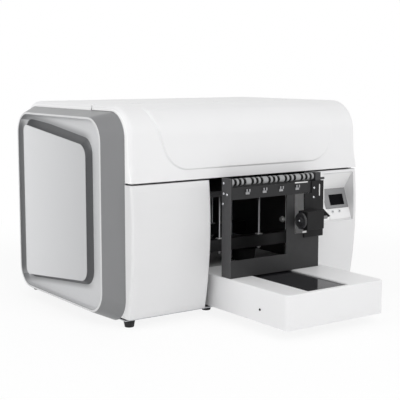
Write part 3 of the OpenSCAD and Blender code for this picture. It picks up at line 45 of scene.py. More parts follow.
# The studio: a seamless white floor, a broad soft box in front and above, two weak fills and
# an even pale surround. The camera stands where the photograph was taken.
class Wire:
    """One value in a material. Arithmetic on it adds Math nodes, and above and below give 1 or 0."""

    def __init__(self, nodes, socket):
        self.nodes, self.socket = nodes, socket

    def math(self, operation, a, b=0.0):
        return self.nodes.node("ShaderNodeMath", {"operation": operation}, {0: a, 1: b})

    def __add__(self, other):
        return self.math("ADD", self, other)

    def __radd__(self, other):
        return self.math("ADD", other, self)

    def __sub__(self, other):
        return self.math("SUBTRACT", self, other)

    def __rsub__(self, other):
        return self.math("SUBTRACT", other, self)

    def __mul__(self, other):
        return self.math("MULTIPLY", self, other)

    def __rmul__(self, other):
        return self.math("MULTIPLY", other, self)

    def __truediv__(self, other):
        return self.math("DIVIDE", self, other)

    def __rtruediv__(self, other):
        return self.math("DIVIDE", other, self)

    def __abs__(self):
        return self.math("ABSOLUTE", self)

    def above(self, other):
        return self.math("GREATER_THAN", self, other)

    def below(self, other):
        return self.math("LESS_THAN", self, other)

    def wave(self):
        return self.math("SINE", self)


class Nodes:
    """A tree of shader nodes, each made by one method."""

    def __init__(self, tree):
        self.tree = tree

    def put(self, socket, value):
        if isinstance(value, Wire):
            self.tree.links.new(value.socket, socket)
        else:
            socket.default_value = value

    def node(self, kind, settings=None, sockets=None, out=0):
        made = self.tree.nodes.new(kind)
        for key, value in (settings or {}).items():
            setattr(made, key, value)
        for key, value in (sockets or {}).items():
            self.put(made.inputs[key], value)
        return Wire(self, made.outputs[out])

    def seen(self):
        """1 for what the camera sees directly, in a mirror or through glass, and 0 for light."""
        return sum(self.node("ShaderNodeLightPath", out=kind)
                   for kind in ("Is Camera Ray", "Is Glossy Ray", "Is Transmission Ray"))

    def ramp(self, value, low, high, start=0.0, end=1.0):
        """Smooth step from start, where the value is low, to end, where it is high."""
        return self.node("ShaderNodeMapRange", {"interpolation_type": "SMOOTHSTEP"}, {
            "Value": value, "From Min": low, "From Max": high, "To Min": start, "To Max": end})


class Finish(Nodes):
    """A material: what is constant sits on its shader, what varies is fed to it."""

    def __init__(self, name, **constants):
        self.material = bpy.data.materials.new(name)
        self.material.use_nodes = True
        super().__init__(self.material.node_tree)
        self.shader = self.tree.nodes["Principled BSDF"]
        self.feed(**constants)

    def feed(self, **sockets):
        for name, value in sockets.items():
            self.put(self.shader.inputs[name.replace("_", " ")], value)
        return self

    def place(self, stretch=(1, 1, 1)):
        """Object coordinates in metres; a stretch below 1 draws a grain out along that axis."""
        spot = self.node("ShaderNodeTexCoord", out="Object")
        return self.node("ShaderNodeMapping", {}, {"Vector": spot, "Scale": stretch})

    def axis(self, name):
        """One Object coordinate, in metres."""
        return self.node("ShaderNodeSeparateXYZ", {}, {0: self.place()}, name)

    def grain(self, scale, detail=2.0, stretch=(1, 1, 1)):
        """Soft noise from 0 to 1; a larger scale is finer."""
        return self.node("ShaderNodeTexNoise", {}, {
            "Vector": self.place(stretch), "Scale": scale, "Detail": detail}, "Fac")

    def ripple(self, axis, pitch):
        """Sine wave along an axis, with one crest in each pitch."""
        return (self.axis(axis) * (2 * pi / pitch)).wave()

    def tint(self, share, low, high):
        """Colour between low and high by a share from 0 to 1; either may be a colour made before."""
        low, high = (c if isinstance(c, Wire) else (*c, 1) for c in (low, high))
        return self.node("ShaderNodeMix", {"data_type": "RGBA"}, {0: share, 6: low, 7: high}, 2)

    def over(self, mask, colour):
        """Lays a colour over the present one by a mask from 0 to 1."""
        present = Wire(self, self.shader.inputs["Base Color"].links[0].from_socket)
        return self.feed(Base_Color=self.tint(mask, present, colour))

    def bump(self, height, depth, strength=1.0):
        """Relief in the surface; depth is its height in metres."""
        return self.feed(Normal=self.node("ShaderNodeBump", {}, {
            "Height": height, "Strength": strength, "Distance": depth}))


def rectangle(u, v):
    """Corners of a rectangle between two limits each way, in turning order."""
    return [(u[0], v[0]), (u[1], v[0]), (u[1], v[1]), (u[0], v[1])]


floor_reach, shade_near, shade_far, shade_least = 40, 0.9, 2.0, 0.86
paper = Finish("studio_paper", Base_Color=(1, 1, 1, 1), Roughness=0.9)
away = paper.node("ShaderNodeVectorMath", {"operation": "LENGTH"}, {0: paper.place()}, "Value")
glow_share = paper.seen() * paper.ramp(away, shade_near, shade_far, shade_least, 1.0)
glow = paper.node("ShaderNodeEmission", {}, {"Color": (1, 1, 1, 1), "Strength": 1.0})
paper.put(paper.tree.nodes["Material Output"].inputs["Surface"], paper.node(
    "ShaderNodeMixShader", {}, {0: glow_share, 1: Wire(paper, paper.shader.outputs[0]), 2: glow}))
floor_mesh = bpy.data.meshes.new("studio_floor")
floor_span = (-floor_reach, floor_reach)
floor_mesh.from_pydata([(x, y, 0) for x, y in rectangle(floor_span, floor_span)], [], [(0, 1, 2, 3)])
floor_mesh.materials.append(paper.material)
floor = bpy.data.objects.new("studio_floor", floor_mesh)
scene.collection.objects.link(floor)

surround_light = 0.58
scene.world = bpy.data.worlds.new("studio_surround")
scene.world.use_nodes = True
surround = Nodes(scene.world.node_tree)
surround_shader = surround.tree.nodes["Background"]
surround.put(surround_shader.inputs["Color"], (1, 1, 1, 1))
surround.put(surround_shader.inputs["Strength"], surround.seen() * (1 - surround_light) + surround_light)


def softbox(name, spot, aim, width, height, power):
    """A rectangular lamp at a spot, turned to face its aim; power is in watts."""
    lamp = bpy.data.lights.new(name, "AREA")
    lamp.shape, lamp.size, lamp.size_y, lamp.energy = "RECTANGLE", width, height, power
    stand = bpy.data.objects.new(name, lamp)
    stand.location = spot
    stand.rotation_euler = (Vector(aim) - Vector(spot)).to_track_quat("-Z", "Y").to_euler()
    scene.collection.objects.link(stand)


softbox("front_softbox", (-0.4, -3.4, 3.0), (0, 0, 0.35), 3.0, 2.0, 62)
softbox("right_fill", (3.2, -1.6, 1.4), (0, 0, 0.35), 1.6, 1.6, 7)
softbox("left_fill", (-3.4, 0.55, 1.6), (-0.4, 0, 0.35), 1.6, 1.6, 29)

camera_spot, camera_dip, camera_turn = (-1.914, -2.6172, 0.7756), 0.1329, -0.6128
lens = bpy.data.cameras.new("photo_camera")
lens.sensor_fit, lens.sensor_width, lens.lens = "HORIZONTAL", 36, 88.18
camera = bpy.data.objects.new("photo_camera", lens)
camera.location = camera_spot
camera.rotation_euler = (pi / 2 - camera_dip, 0, camera_turn)
scene.collection.objects.link(camera)
scene.camera = camera


# Chassis: a folded base pan and two side plates of zinc plated sheet steel, on moulded rubber
# feet. Cut edges carry a hair of rounding, which is what catches the light on sheet metal.
mm = 0.001
zinc = Finish("zinc_plate", Metallic=0.85)
spangle = zinc.node("ShaderNodeTexVoronoi", {}, {"Vector": zinc.place(), "Scale": 90.0}, "Distance")
zinc.feed(Base_Color=zinc.tint(spangle, (0.42, 0.43, 0.45), (0.60, 0.61, 0.63)),
          Roughness=zinc.grain(60, 3) * 0.2 + 0.3)
rubber = Finish("foot_rubber", Specular_IOR_Level=0.35)
rubber.feed(Base_Color=rubber.tint(rubber.grain(300), (0.012, 0.012, 0.013), (0.028, 0.028, 0.03)),
            Roughness=rubber.grain(120) * 0.2 + 0.6).bump(rubber.grain(900), 0.0002)


def soften(piece, edge, least_turn):
    """Rounds off edges that turn by more than an angle in degrees; edge is in millimetres."""
    soft = piece.modifiers.new("soft_edge", "BEVEL")
    soft.width, soft.segments, soft.limit_method = edge * mm, 2, "ANGLE"
    soft.angle_limit, soft.harden_normals = radians(least_turn), True


def dress(finish, edge, *nodes):
    """Gives CAD nodes their finish, and rounds off their cut edges by a size in millimetres."""
    for name in nodes:
        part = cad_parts[name]
        part.data.materials.clear()
        part.data.materials.append(finish.material)
        weld = part.modifiers.new("weld", "WELD")
        weld.merge_threshold = 0.01 * mm
        flat = part.modifiers.new("flat", "DECIMATE")
        flat.decimate_type, flat.angle_limit = "DISSOLVE", radians(0.4)
        soften(part, edge, 35)


dress(zinc, 0.5, "base_pan", "side_plates")
dress(rubber, 1.2, "rubber_feet")


# Bay walls: powder coated sheet, black, folded with the shelf behind each; their deck is painted pale,
# painted light for the light that falls into the bay. A liner of white plastic sheet is fixed to the
# right wall where the roll of film passes it.
def powder_coat(name, low, high, sheen=0.4):
    """Baked powder: two close darks in a fine speckle, with the pebbled skin such paint has."""
    coat = Finish(name, Specular_IOR_Level=sheen)
    coat.feed(Base_Color=coat.tint(coat.grain(40, 4), low, high),
              Roughness=coat.grain(90, 3) * 0.16 + 0.40)
    return coat.bump(coat.grain(1400, 2), 0.00012, 0.6)


deck_z, deck_skin = 136.0, 0.3
deck_coat = powder_coat("deck_powder_coat", (0.029, 0.029, 0.030), (0.031, 0.031, 0.032))
# Painted light: the deck's face is painted pale, for the light that falls into the bay.
deck_painted_light = abs(deck_coat.axis("Z") - deck_z * mm).below(deck_skin * mm)
deck_coat.over(deck_painted_light, (0.34, 0.34, 0.345))
dress(deck_coat, 0.6, "bay_walls")

front_middle = np.array([0.0, 186.0, 0.0])


def mould(name, body, slot, finish, *grids, nodes=(), wall=0.0, sharp=38, edge=0.0):
    """One piece from grids of points in millimetres, measured from the machine's front middle.
    Neighbouring points of a grid make its faces. Doubled points are merged, which closes seams and
    poles, and the faces are turned outwards; a wall then grows inwards from an open skin."""
    faces, start = [], 0
    for grid in grids:
        rows, columns = grid.shape[:2]
        index = start + np.arange(rows * columns).reshape(rows, columns)
        corners = [index[:-1, :-1], index[:-1, 1:], index[1:, 1:], index[1:, :-1]]
        faces.append(np.stack(corners, -1).reshape(-1, 4))
        start += rows * columns
    points = (np.concatenate([grid.reshape(-1, 3) for grid in grids]) - front_middle) * mm
    mesh = bpy.data.meshes.new(name)
    mesh.from_pydata(points.tolist(), [], np.concatenate(faces).tolist())
    solid = bmesh.new()
    solid.from_mesh(mesh)
    bmesh.ops.remove_doubles(solid, verts=solid.verts, dist=0.004 * mm)
    bmesh.ops.dissolve_degenerate(solid, edges=solid.edges, dist=0.001 * mm)
    if not wall:
        bmesh.ops.recalc_face_normals(solid, faces=solid.faces)
    solid.to_mesh(mesh)
    solid.free()
    mesh.shade_smooth()
    mesh.set_sharp_from_angle(angle=radians(sharp))
    mesh.materials.append(finish.material)
    piece = bpy.data.objects.new(name, mesh)
    scene.collection.objects.link(piece)
    if wall:
        thick = piece.modifiers.new("wall", "SOLIDIFY")
        thick.thickness, thick.offset = wall * mm, -1
    if edge:
        soften(piece, edge, 40)
    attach(piece, body)
    for node in nodes:
        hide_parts(node)
    return piece


def soft_polygon(corners, radii, inset=0.0, steps=10, runs=10):
    """Closed outline with round corners, drawn in by an inset. A corner moves along the sum of its
    two outward directions over one plus their product; its arc turns from the one direction to
    the other, and straight runs join the arcs. Equal counts make any two outlines match."""
    corners = np.asarray(corners, float)
    along = np.roll(corners, -1, 0) - corners
    along = along / np.linalg.norm(along, axis=1)[:, None]
    after = np.stack([along[:, 1], -along[:, 0]], 1)
    before = np.roll(after, 1, 0)
    reach = (before + after) / (1 + (before * after).sum(1))[:, None]
    radii = np.maximum(np.broadcast_to(np.asarray(radii, float), len(corners)) - inset, 0.05)
    middle = corners - (inset + radii)[:, None] * reach
    first = np.arctan2(before[:, 1], before[:, 0])
    turn = (np.arctan2(after[:, 1], after[:, 0]) - first) % (2 * pi)
    angle = first[:, None] + turn[:, None] * np.linspace(0, 1, steps + 1)
    arcs = middle[:, None] + radii[:, None, None] * np.stack([np.cos(angle), np.sin(angle)], -1)
    share = np.linspace(0, 1, runs + 2)[1:-1, None]
    lines = arcs[:, -1:] + share * (np.roll(arcs, -1, 0)[:, :1] - arcs[:, -1:])
    loop = np.concatenate([arcs, lines], 1).reshape(-1, 2)
    return np.concatenate([loop, loop[:1]])


def across(outline, x):
    """An outline drawn in Y and Z, at a place along X."""
    return np.column_stack([np.full(len(outline), x), outline])


def toward(outline, share):
    """The outline shrunk about its middle; a share of 0 is the middle itself."""
    middle = (outline.max(0) + outline.min(0)) / 2
    return middle + share * (outline - middle)


def sheet(outline, lay, near, far):
    """A flat sheet: from its middle out to its outline at one place, and back at the other. Lay is
    the function that puts an outline at a place."""
    middle = toward(outline, 0)
    return np.stack([lay(middle, near), lay(outline, near), lay(outline, far), lay(middle, far)])


def satin_plastic(name, low, high, gloss=0.36, sheen=0.42, grit=(70, 3), spread=0.10):
    """Moulded plastic: a faint flow mottling in its colour and a fine spark-eroded skin."""
    plastic = Finish(name, Specular_IOR_Level=sheen)
    plastic.feed(Base_Color=plastic.tint(plastic.grain(5, 3), low, high),
                 Roughness=plastic.grain(*grit) * spread + gloss)
    return plastic.bump(plastic.grain(1800, 2), 0.00003, 0.5)


liner_white = satin_plastic("liner_white", (0.91, 0.91, 0.91), (0.94, 0.94, 0.94), 0.5)
liner_y, liner_z, liner_corner = (37, 131), (141, 379), 4
liner_back, liner_front = 247.8, 246.8
mould("bay_liner", "chassis", "white_shell", liner_white, sheet(
    soft_polygon(rectangle(liner_y, liner_z), liner_corner), across, liner_back, liner_front))


# Lift: black anodised beams hold four plain bushings in which bright ground rods slide; a stepper
# below turns a rolled screw, which pushes up the platform with the bed on it.
def metal(name, low, high, rough, stretch):
    """Bare metal with the fine lines that grinding, drawing or brushing leave along one way."""
    bare = Finish(name, Metallic=1.0)
    lines = bare.grain(700, 3, stretch)
    bare.feed(Base_Color=bare.tint(lines, low, high), Roughness=lines * 0.18 + rough)
    return bare.bump(lines, 0.00002, 0.4)


black_anodised = metal(
    "black_anodised", (0.028, 0.028, 0.029), (0.046, 0.046, 0.047), 0.34, (0.04, 1, 1))
dress(black_anodised, 0.8, "lift_beams", "lift_platform", "print_bed")
rod_steel = metal("ground_rod", (0.30, 0.30, 0.31), (0.40, 0.40, 0.41), 0.2, (1, 1, 0.05))
dress(rod_steel, 0.4, "guide_rods")
nickel = Finish("satin_nickel", Metallic=0.45)
nickel.feed(Base_Color=nickel.tint(nickel.grain(400, 3), (0.70, 0.70, 0.70), (0.80, 0.80, 0.79)),
            Roughness=nickel.grain(160, 3) * 0.15 + 0.3).bump(nickel.grain(900), 0.00003)
dress(nickel, 0.4, "lift_bushings")
black_coat = powder_coat("black_powder_coat", (0.022, 0.023, 0.026), (0.040, 0.041, 0.045))
dress(black_coat, 0.8, "lift_motor")
thread_pitch, thread_deep = 0.002, 0.0006
thread = Finish("rolled_thread", Metallic=1.0)
scratches = thread.grain(700, 3)
thread.feed(Base_Color=thread.tint(scratches, (0.45, 0.46, 0.48), (0.60, 0.61, 0.63)),
            Roughness=scratches * 0.18 + 0.22).bump(thread.ripple("Z", thread_pitch), thread_deep)
dress(thread, 0.3, "lift_screw")


# Gantry: an extruded beam with a ground rail, on which the carriage with its two heads and two
# curing lamps is drawn by a toothed belt. The heads park on a capping station at the right.
aluminium = metal("drawn_aluminium", (0.56, 0.57, 0.59), (0.68, 0.69, 0.71), 0.30, (0.03, 1, 1))
rail_steel = metal("rail_steel", (0.60, 0.61, 0.63), (0.70, 0.71, 0.73), 0.14, (0.03, 1, 1))
black_plastic = satin_plastic("black_plastic", (0.020, 0.020, 0.022), (0.034, 0.034, 0.037), 0.42)
dress(aluminium, 0.6, "gantry_beam", "print_heads", "drive_pulley", "idler_pulley")
dress(rail_steel, 0.4, "x_rail", "rail_block")
dress(black_coat, 0.8, "print_carriage", "x_motor")
dress(black_anodised, 0.6, "uv_lamps")
dress(black_plastic, 0.8, "capping_station")
tooth_pitch, tooth_deep = 0.003, 0.0008
belt_rubber = Finish("belt_rubber", Specular_IOR_Level=0.3)
tooth = belt_rubber.ripple("X", tooth_pitch)
belt_rubber.feed(
    Base_Color=belt_rubber.tint(tooth * 0.5 + 0.5, (0.012, 0.012, 0.013), (0.03, 0.03, 0.03)),
    Roughness=belt_rubber.grain(200) * 0.2 + 0.6).bump(tooth, tooth_deep)
dress(belt_rubber, 0.3, "drive_belt")


# Supplies: ink tanks of milky plastic behind the left panel, the lacquered main board and the
# power supply in its zinc plated box, all fixed to the base pan.
tank_plastic = Finish("milky_tank", Subsurface_Weight=0.25, Specular_IOR_Level=0.4)
tank_plastic.feed(
    Base_Color=tank_plastic.tint(tank_plastic.grain(14, 3), (0.66, 0.67, 0.68), (0.78, 0.78, 0.78)),
    Roughness=tank_plastic.grain(160) * 0.15 + 0.34).bump(tank_plastic.grain(700), 0.00005)
dress(tank_plastic, 1.5, "ink_tanks")
board_top = 30.5
board = Finish("lacquered_board", Coat_Weight=0.4, Coat_Roughness=0.15)
track = board.node("ShaderNodeTexBrick", {"offset": 0.5}, {
    "Vector": board.place(), "Scale": 60.0, "Mortar Size": 0.03, "Color1": (0.015, 0.11, 0.045, 1),
    "Color2": (0.02, 0.14, 0.06, 1), "Mortar": (0.10, 0.24, 0.09, 1)})
board.feed(Base_Color=track, Roughness=board.grain(240) * 0.15 + 0.30)
board.over(board.axis("Z").above(board_top * mm), (0.03, 0.03, 0.032))
dress(board, 0.3, "main_board")
dress(zinc, 0.8, "power_supply")


# Rear panel: one white moulding with louvres, fixed to the side plates. Let into it are a guarded
# fan, the mains inlet and its rocker switch, all of black plastic. The same white makes the top and
# the tray; on the end faces of the top, from the hem outwards, it carries a painted highlight.
hem_highlight_from = 448.5
white_shell = satin_plastic("white_shell", (0.815, 0.815, 0.822), (0.855, 0.855, 0.860))
# Painted highlight: the top's end faces, from the hem outwards, are painted a lighter white.
white_shell.over(abs(white_shell.axis("X")).above(hem_highlight_from * mm), (0.95, 0.95, 0.95))
dress(white_shell, 1.2, "rear_panel")
dress(black_plastic, 0.6, "fan_rotor", "power_inlet", "power_switch")


# Lower front panels: bowed white mouldings on either side of the bay, their upright edges rolled.
# The right one carries the pocket of the control panel, whose inside carries painted light: a lighter
# white standing in for the light that falls into it.
pocket_x, pocket_front, pocket_low = (299.5, 433.6), 2.0, 270.0
panel_white = satin_plastic("panel_white", (0.745, 0.745, 0.752), (0.785, 0.785, 0.790))
sideways, inward = panel_white.axis("X"), panel_white.axis("Y")
# Painted light: the pocket's inside is painted a lighter white.
pocket_painted_light = sideways.above(pocket_x[0] * mm) * sideways.below(pocket_x[1] * mm)
pocket_painted_light = pocket_painted_light * inward.above((pocket_front - front_middle[1]) * mm)
panel_white.over(pocket_painted_light * panel_white.axis("Z").above(pocket_low * mm), (0.93, 0.93, 0.93))
dress(panel_white, 1.2, "left_front_panel", "right_front_panel")


# Control panel: a grey bezel with a dark glossy display, and below it a white plate with two keys,
# all set into the pocket. Each key carries a small printed mark.
bezel_grey = satin_plastic("bezel_grey", (0.225, 0.227, 0.232), (0.265, 0.267, 0.272), 0.34)
dress(bezel_grey, 1.0, "display_bezel")
glass = Finish("display_glass", Specular_IOR_Level=0.025)
glass.feed(Base_Color=glass.tint(glass.grain(25, 3), (0.003, 0.003, 0.004), (0.006, 0.006, 0.007)),
           Roughness=glass.grain(400, 3) * 0.05 + 0.12)
dress(glass, 0.3, "display_screen")
dress(white_shell, 0.6, "key_plate")
key_x, key_z, mark_half = (354.0, 385.0), 294.8, (2.0, 2.6)
key_grey = satin_plastic("key_grey", (0.66, 0.67, 0.68), (0.74, 0.75, 0.76), 0.34)
beside_mark = sum(abs(key_grey.axis("X") - x * mm).below(mark_half[0] * mm) for x in key_x)
level_mark = abs(key_grey.axis("Z") - key_z * mm).below(mark_half[1] * mm)
key_grey.over(beside_mark * level_mark, (0.05, 0.05, 0.055))
dress(key_grey, 0.8, "left_key", "right_key")


# Side frames: a grey ring moulding that slopes in from the body to a narrow rim, a silver dish
# let into it and a raised accent panel, both of painted sheet. The dish carries painted shade beside
# the panel and at its rear edge, the accent's face carries painted light that grows towards the rear,
# and the right side mirrors the left.
body_side, rim_x, dish_x, seat_x, accent_x = 450.0, 506.0, 478.0, 475.2, 498.0
rim_width, rim_soft, rim_inner_soft, dish_gap = 6.0, 2.5, 1.5, 0.3
slope_rows = (0, 0.02, 0.5, 0.93, 0.95)
base_y, base_z, base_corner = (36, 698), (16, 650), 77
rim_y, rim_z, rim_corner = (83, 651), (40, 633), 73
base_side = soft_polygon(rectangle(base_y, base_z), base_corner)
cove, cove_deep, dish_rows = 36.0, 25.0, (0.98, 0.6, 0.3, 0)
foot_corners, foot_radii = [(177, 114), (632, 66), (632, 621), (177, 563)], [52, 34, 34, 52]
accent_corners, accent_radii = [(189, 126), (620, 78), (620, 593), (189, 545)], [40, 22, 22, 40]
accent_foot = soft_polygon(foot_corners, foot_radii)
foot_x, flare, flare_rise, accent_hollow = dish_x + 0.3, 5.0, 6.0, 1.2
accent_soft, edge_under, edge_inside = 1.8, 0.6, 0.4


def rim(inset):
    """The rim's outline, drawn in by an inset."""
    return soft_polygon(rectangle(rim_y, rim_z), rim_corner, inset)


def accent(inset):
    """The accent panel's outline, drawn in by an inset."""
    return soft_polygon(accent_corners, accent_radii, inset)


def rounded(a, corner, b, steps=5):
    """Rows of a quadratic curve from outline a to outline b, drawn towards a corner outline."""
    t = np.linspace(0, 1, steps)[:, None, None]
    return (1 - t) ** 2 * a + 2 * t * (1 - t) * corner + t ** 2 * b


def silver_paint(name):
    """Silver paint under lacquer: fine flakes vary the sheen from point to point."""
    paint = Finish(name, Metallic=0.12, Coat_Weight=0.15, Coat_Roughness=0.25)
    flake = paint.node("ShaderNodeTexVoronoi", {}, {"Vector": paint.place(), "Scale": 2600.0}, "Color")
    fleck = paint.node("ShaderNodeSeparateColor", {}, {0: flake})
    return paint.feed(Roughness=fleck * 0.12 + 0.34).bump(paint.grain(500, 2), 0.00003, 0.5)


def height_over(paint, front, rear):
    """Height in metres over the straight line through two corners, each given in Y and Z."""
    slope = (rear[1] - front[1]) / (rear[0] - front[0])
    line_z = front[1] + slope * (front_middle[1] - front[0])
    return paint.axis("Z") - paint.axis("Y") * slope - line_z * mm


grey_shell = satin_plastic("grey_shell", (0.20, 0.202, 0.207), (0.225, 0.227, 0.232), 0.28,
                           grit=(12, 2), spread=0.06)
on_rim = abs(grey_shell.axis("X")).above((rim_x - rim_inner_soft) * mm)
grey_shell.over(on_rim, (0.64, 0.642, 0.647))

rear_wall_shade, shade_starts, shade_deep, shade_tuck = (0.435, 0.458), (-0.02, 0.05), 0.7, 0.012
reach_over, reach_under = 0.026, 0.020
dish_paint = silver_paint("dish_silver")
dish_paint.feed(Base_Color=dish_paint.tint(
    dish_paint.grain(400), (0.54, 0.545, 0.555), (0.63, 0.635, 0.645)))
# Painted shade: the dish is darkened at its rear edge, and painted shadows lie over and under the accent
# panel's foot.
dish_paint.over(dish_paint.ramp(dish_paint.axis("Y"), *rear_wall_shade), (0.20, 0.202, 0.207))
over_accent = height_over(dish_paint, foot_corners[3], foot_corners[2])
under_accent = -1 * height_over(dish_paint, foot_corners[0], foot_corners[1])
shade = sum(dish_paint.ramp(gap, 0.0, reach, shade_deep, 0.0) * gap.above(-shade_tuck)
            for gap, reach in ((over_accent, reach_over), (under_accent, reach_under)))
dish_paint.over(shade * dish_paint.ramp(dish_paint.axis("Y"), *shade_starts), (0.15, 0.152, 0.157))

accent_front, accent_rear = accent_corners[0][0], accent_corners[1][0]
flank_from, flank_full = dish_x - 1.5, foot_x + 0.1
accent_paint = silver_paint("accent_silver")
outward = abs(accent_paint.axis("X"))
flank = accent_paint.ramp(outward, flank_from * mm, flank_full * mm)
flank = flank * outward.below((accent_x - accent_soft) * mm)
# Painted light: the accent's face is painted lighter from front to rear, for how the light falls on it.
rearward_painted_light = accent_paint.axis("Y") - (accent_front - front_middle[1]) * mm
accent_paint.feed(
    Base_Color=accent_paint.tint(
        rearward_painted_light / ((accent_rear - accent_front) * mm), (0.49, 0.495, 0.505), (0.68, 0.685, 0.695)),
    Coat_Weight=0.1 - flank * 0.08)
accent_paint.over(flank, accent_paint.tint(
    accent_paint.grain(300), (0.068, 0.070, 0.074), (0.086, 0.088, 0.092)))

for name, side in (("left", -1), ("right", 1)):
    slope = [across(base_side + s * (rim(0) - base_side), side * (body_side + s * (rim_x - body_side)))
             for s in slope_rows]
    inner = rim(rim_width)
    mould(name + "_ring", "chassis", "grey_shell", grey_shell, np.concatenate([
        np.stack(slope[:-1]),
        rounded(slope[-1], across(rim(0), side * rim_x), across(rim(rim_soft), side * rim_x)),
        rounded(across(rim(rim_width - rim_inner_soft), side * rim_x), across(inner, side * rim_x),
                across(inner, side * (rim_x - rim_inner_soft))),
        np.stack([across(inner, side * seat_x), across(inner, side * body_side), slope[0]])]),
        nodes=[name + "_side_frame"])
    lip, lip_in = rim(rim_width + dish_gap), rim(rim_width + dish_gap + cove)
    mould(name + "_dish", "chassis", "silver_panel", dish_paint, np.concatenate([
        np.stack([across(toward(lip, 0), side * seat_x), across(lip, side * seat_x)]),
        rounded(across(lip, side * (dish_x + cove_deep)), across(lip, side * dish_x),
                across(lip_in, side * dish_x), 9),
        np.stack([across(toward(lip_in, s), side * dish_x) for s in dish_rows])]),
        nodes=[name + "_dish_panel"])
    face = [across(toward(accent(accent_soft + edge_inside), s),
                   side * (accent_x - accent_hollow * (1 - s ** 2))) for s in np.linspace(0.99, 0, 9)]
    mould(name + "_accent", "chassis", "silver_panel", accent_paint, np.concatenate([
        across(toward(accent_foot, 0), side * foot_x)[None],
        rounded(across(accent_foot, side * foot_x), across(accent(-flare), side * (foot_x + flare_rise)),
                across(accent(0), side * (accent_x - accent_soft - edge_under)), 9),
        rounded(across(accent(0), side * (accent_x - accent_soft)), across(accent(0), side * accent_x),
                across(accent(accent_soft), side * accent_x)),
        np.stack(face)]), nodes=[name + "_accent_panel"])


# Top cover: one white moulding that swings up on three steel hinges along its rear edge. Its ends
# roll over onto the side frames, and its face has a raised field with a soft edge.
def rolled_shell(path, out, seat, half, roll, columns, lift=lambda x, path: 0 * x):
    """Skin that follows a path in Y and Z right across the machine. At both ends it turns a quarter
    circle of the roll's radius, and runs in to its seat on the side frame. The lift, a function
    of X and the path, moves the skin along the outward direction."""
    turn = np.linspace(0, pi / 2, 9)
    band = np.linspace(0, 1, 4)[:-1]
    core = path - roll[:, None] * out
    hem = seat[:, None] + band[:, None] * (core - seat)[:, None]
    curl = core[:, None] + (roll[:, None] * np.sin(turn))[..., None] * out[:, None]
    end_x = np.concatenate([np.broadcast_to(-half, (len(path), len(band))),
                            roll[:, None] * (1 - np.cos(turn)) - half], 1)
    end = np.concatenate([hem, curl], 1)
    field_x = columns * (half - roll[:, None]) / (half - roll.max())
    field = path[:, None] + lift(field_x, path)[..., None] * out[:, None]
    x = np.concatenate([end_x, field_x, -end_x[:, ::-1]], 1)
    return np.concatenate([x[..., None], np.concatenate([end, field, end[:, ::-1]], 1)], 2)


def directions(angle):
    """Outward directions in Y and Z, from straight forwards at 0 to straight up at a quarter turn."""
    return np.stack([-np.cos(angle), np.sin(angle)], -1)


def ease(low, high, value):
    """0 below low, 1 above high, and a smooth step between."""
    t = np.clip((value - low) / (high - low), 0, 1)
    return t * t * (3 - 2 * t)


def graded(stops, counts):
    """Places from the first stop up to the last, which is left out; each stretch between two stops
    has its own count of equal steps."""
    return np.concatenate([np.linspace(a, b, n, endpoint=False)
                           for a, b, n in zip(stops[:-1], stops[1:], counts)])


def depth_inside(loop, u, v):
    """Distance from a closed outline, positive inside it: the nearest of its straight pieces gives
    the distance, and the count of pieces that a ray to the right crosses gives the sign."""
    a, b = loop[:-1], loop[1:]
    keep = np.abs(b - a).sum(1) > 1e-6
    a, run = a[keep], (b - a)[keep]
    p = np.stack([u, v], -1)[..., None, :] - a
    share = np.clip((p * run).sum(-1) / (run ** 2).sum(-1), 0, 1)
    gap = np.linalg.norm(p - share[..., None] * run, axis=-1).min(-1)
    rise = np.where(np.abs(run[:, 1]) < 1e-9, 1e-9, run[:, 1])
    spans = (p[..., 1] < 0) != (p[..., 1] < run[:, 1])
    crossed = spans & (p[..., 0] < p[..., 1] * run[:, 0] / rise)
    return np.where(crossed.sum(-1) % 2 == 1, gap, -gap)


top_z, cover_foot, hinge_y, hinge_z = 668.0, 443.0, 228.0, 663.0
lean, bend_middle, bend_r = radians(3.66), np.array([108.2, 568.0]), 100.0
seat_front, seat_top, seat_middle, seat_r = 35.0, 651.0, np.array([113.0, 573.0]), 78.0
bend_n, top_n = 44, 8
bend_angle = np.linspace(lean, pi / 2, bend_n)
front_stops, front_rows = (0, 0.16, 0.48, 1), (7, 28, 21)
up = graded(front_stops, front_rows)[:, None]
back = np.linspace(0, 1, top_n + 1)[1:, None]


def cover_line(foot, bend, top):
    """A line straight up from its foot, round its bend and straight back to the hinge."""
    rear = np.array([hinge_y, top])
    return np.concatenate([foot + up * (bend[0] - foot), bend, bend[-1] + back * (rear - bend[-1])])


cover_bend = bend_middle + bend_r * directions(bend_angle)
foot_point = cover_bend[0] - (cover_bend[0, 1] - cover_foot) * np.array([tan(lean), 1.0])
cover_path = cover_line(foot_point, cover_bend, top_z)
cover_seat = cover_line(np.array([seat_front, cover_foot]),
                        seat_middle + seat_r * directions(bend_angle), seat_top)
cover_out = directions(np.concatenate([np.full(len(up), lean), bend_angle, np.full(top_n, pi / 2)]))
cover_half, roll_r, foot_roll, roll_grows = 449.5, 16.0, 3.0, 60.0
cover_roll = foot_roll + (roll_r - foot_roll) * ease(0, roll_grows, cover_path[:, 1] - cover_foot)
knuckles, knuckle_slot, knuckle_clear = np.array([-300.0, 0, 300]), 30.8, 5.8
hair = 1.0002
slot_edges = (knuckles[:, None] + knuckle_slot * np.array([-hair, -1, 1, hair])).ravel()
column_stops = (roll_r - cover_half, -420, -240, 225, 345, cover_half - roll_r)
column_counts = (4, 113, 103, 75, 21)
cover_columns = np.sort(np.concatenate([graded(column_stops, column_counts)[1:], slot_edges]))
field_corners, field_radii = [(-398, 760), (-312, 475), (337, 475), (337, 760)], [0.1, 90, 95, 0.1]
field_loop = soft_polygon(field_corners, field_radii, steps=16, runs=2)
field_rise, field_soft, field_fade = 5.6, 2.4, (645, 667)


def raised_field(x, path):
    """The field stands proud by the depth inside its outline, and dies away over the bend."""
    z = np.broadcast_to(path[:, 1:], x.shape)
    proud = ease(-field_soft, field_soft, depth_inside(field_loop, x, z))
    return field_rise * proud * (1 - ease(*field_fade, z))


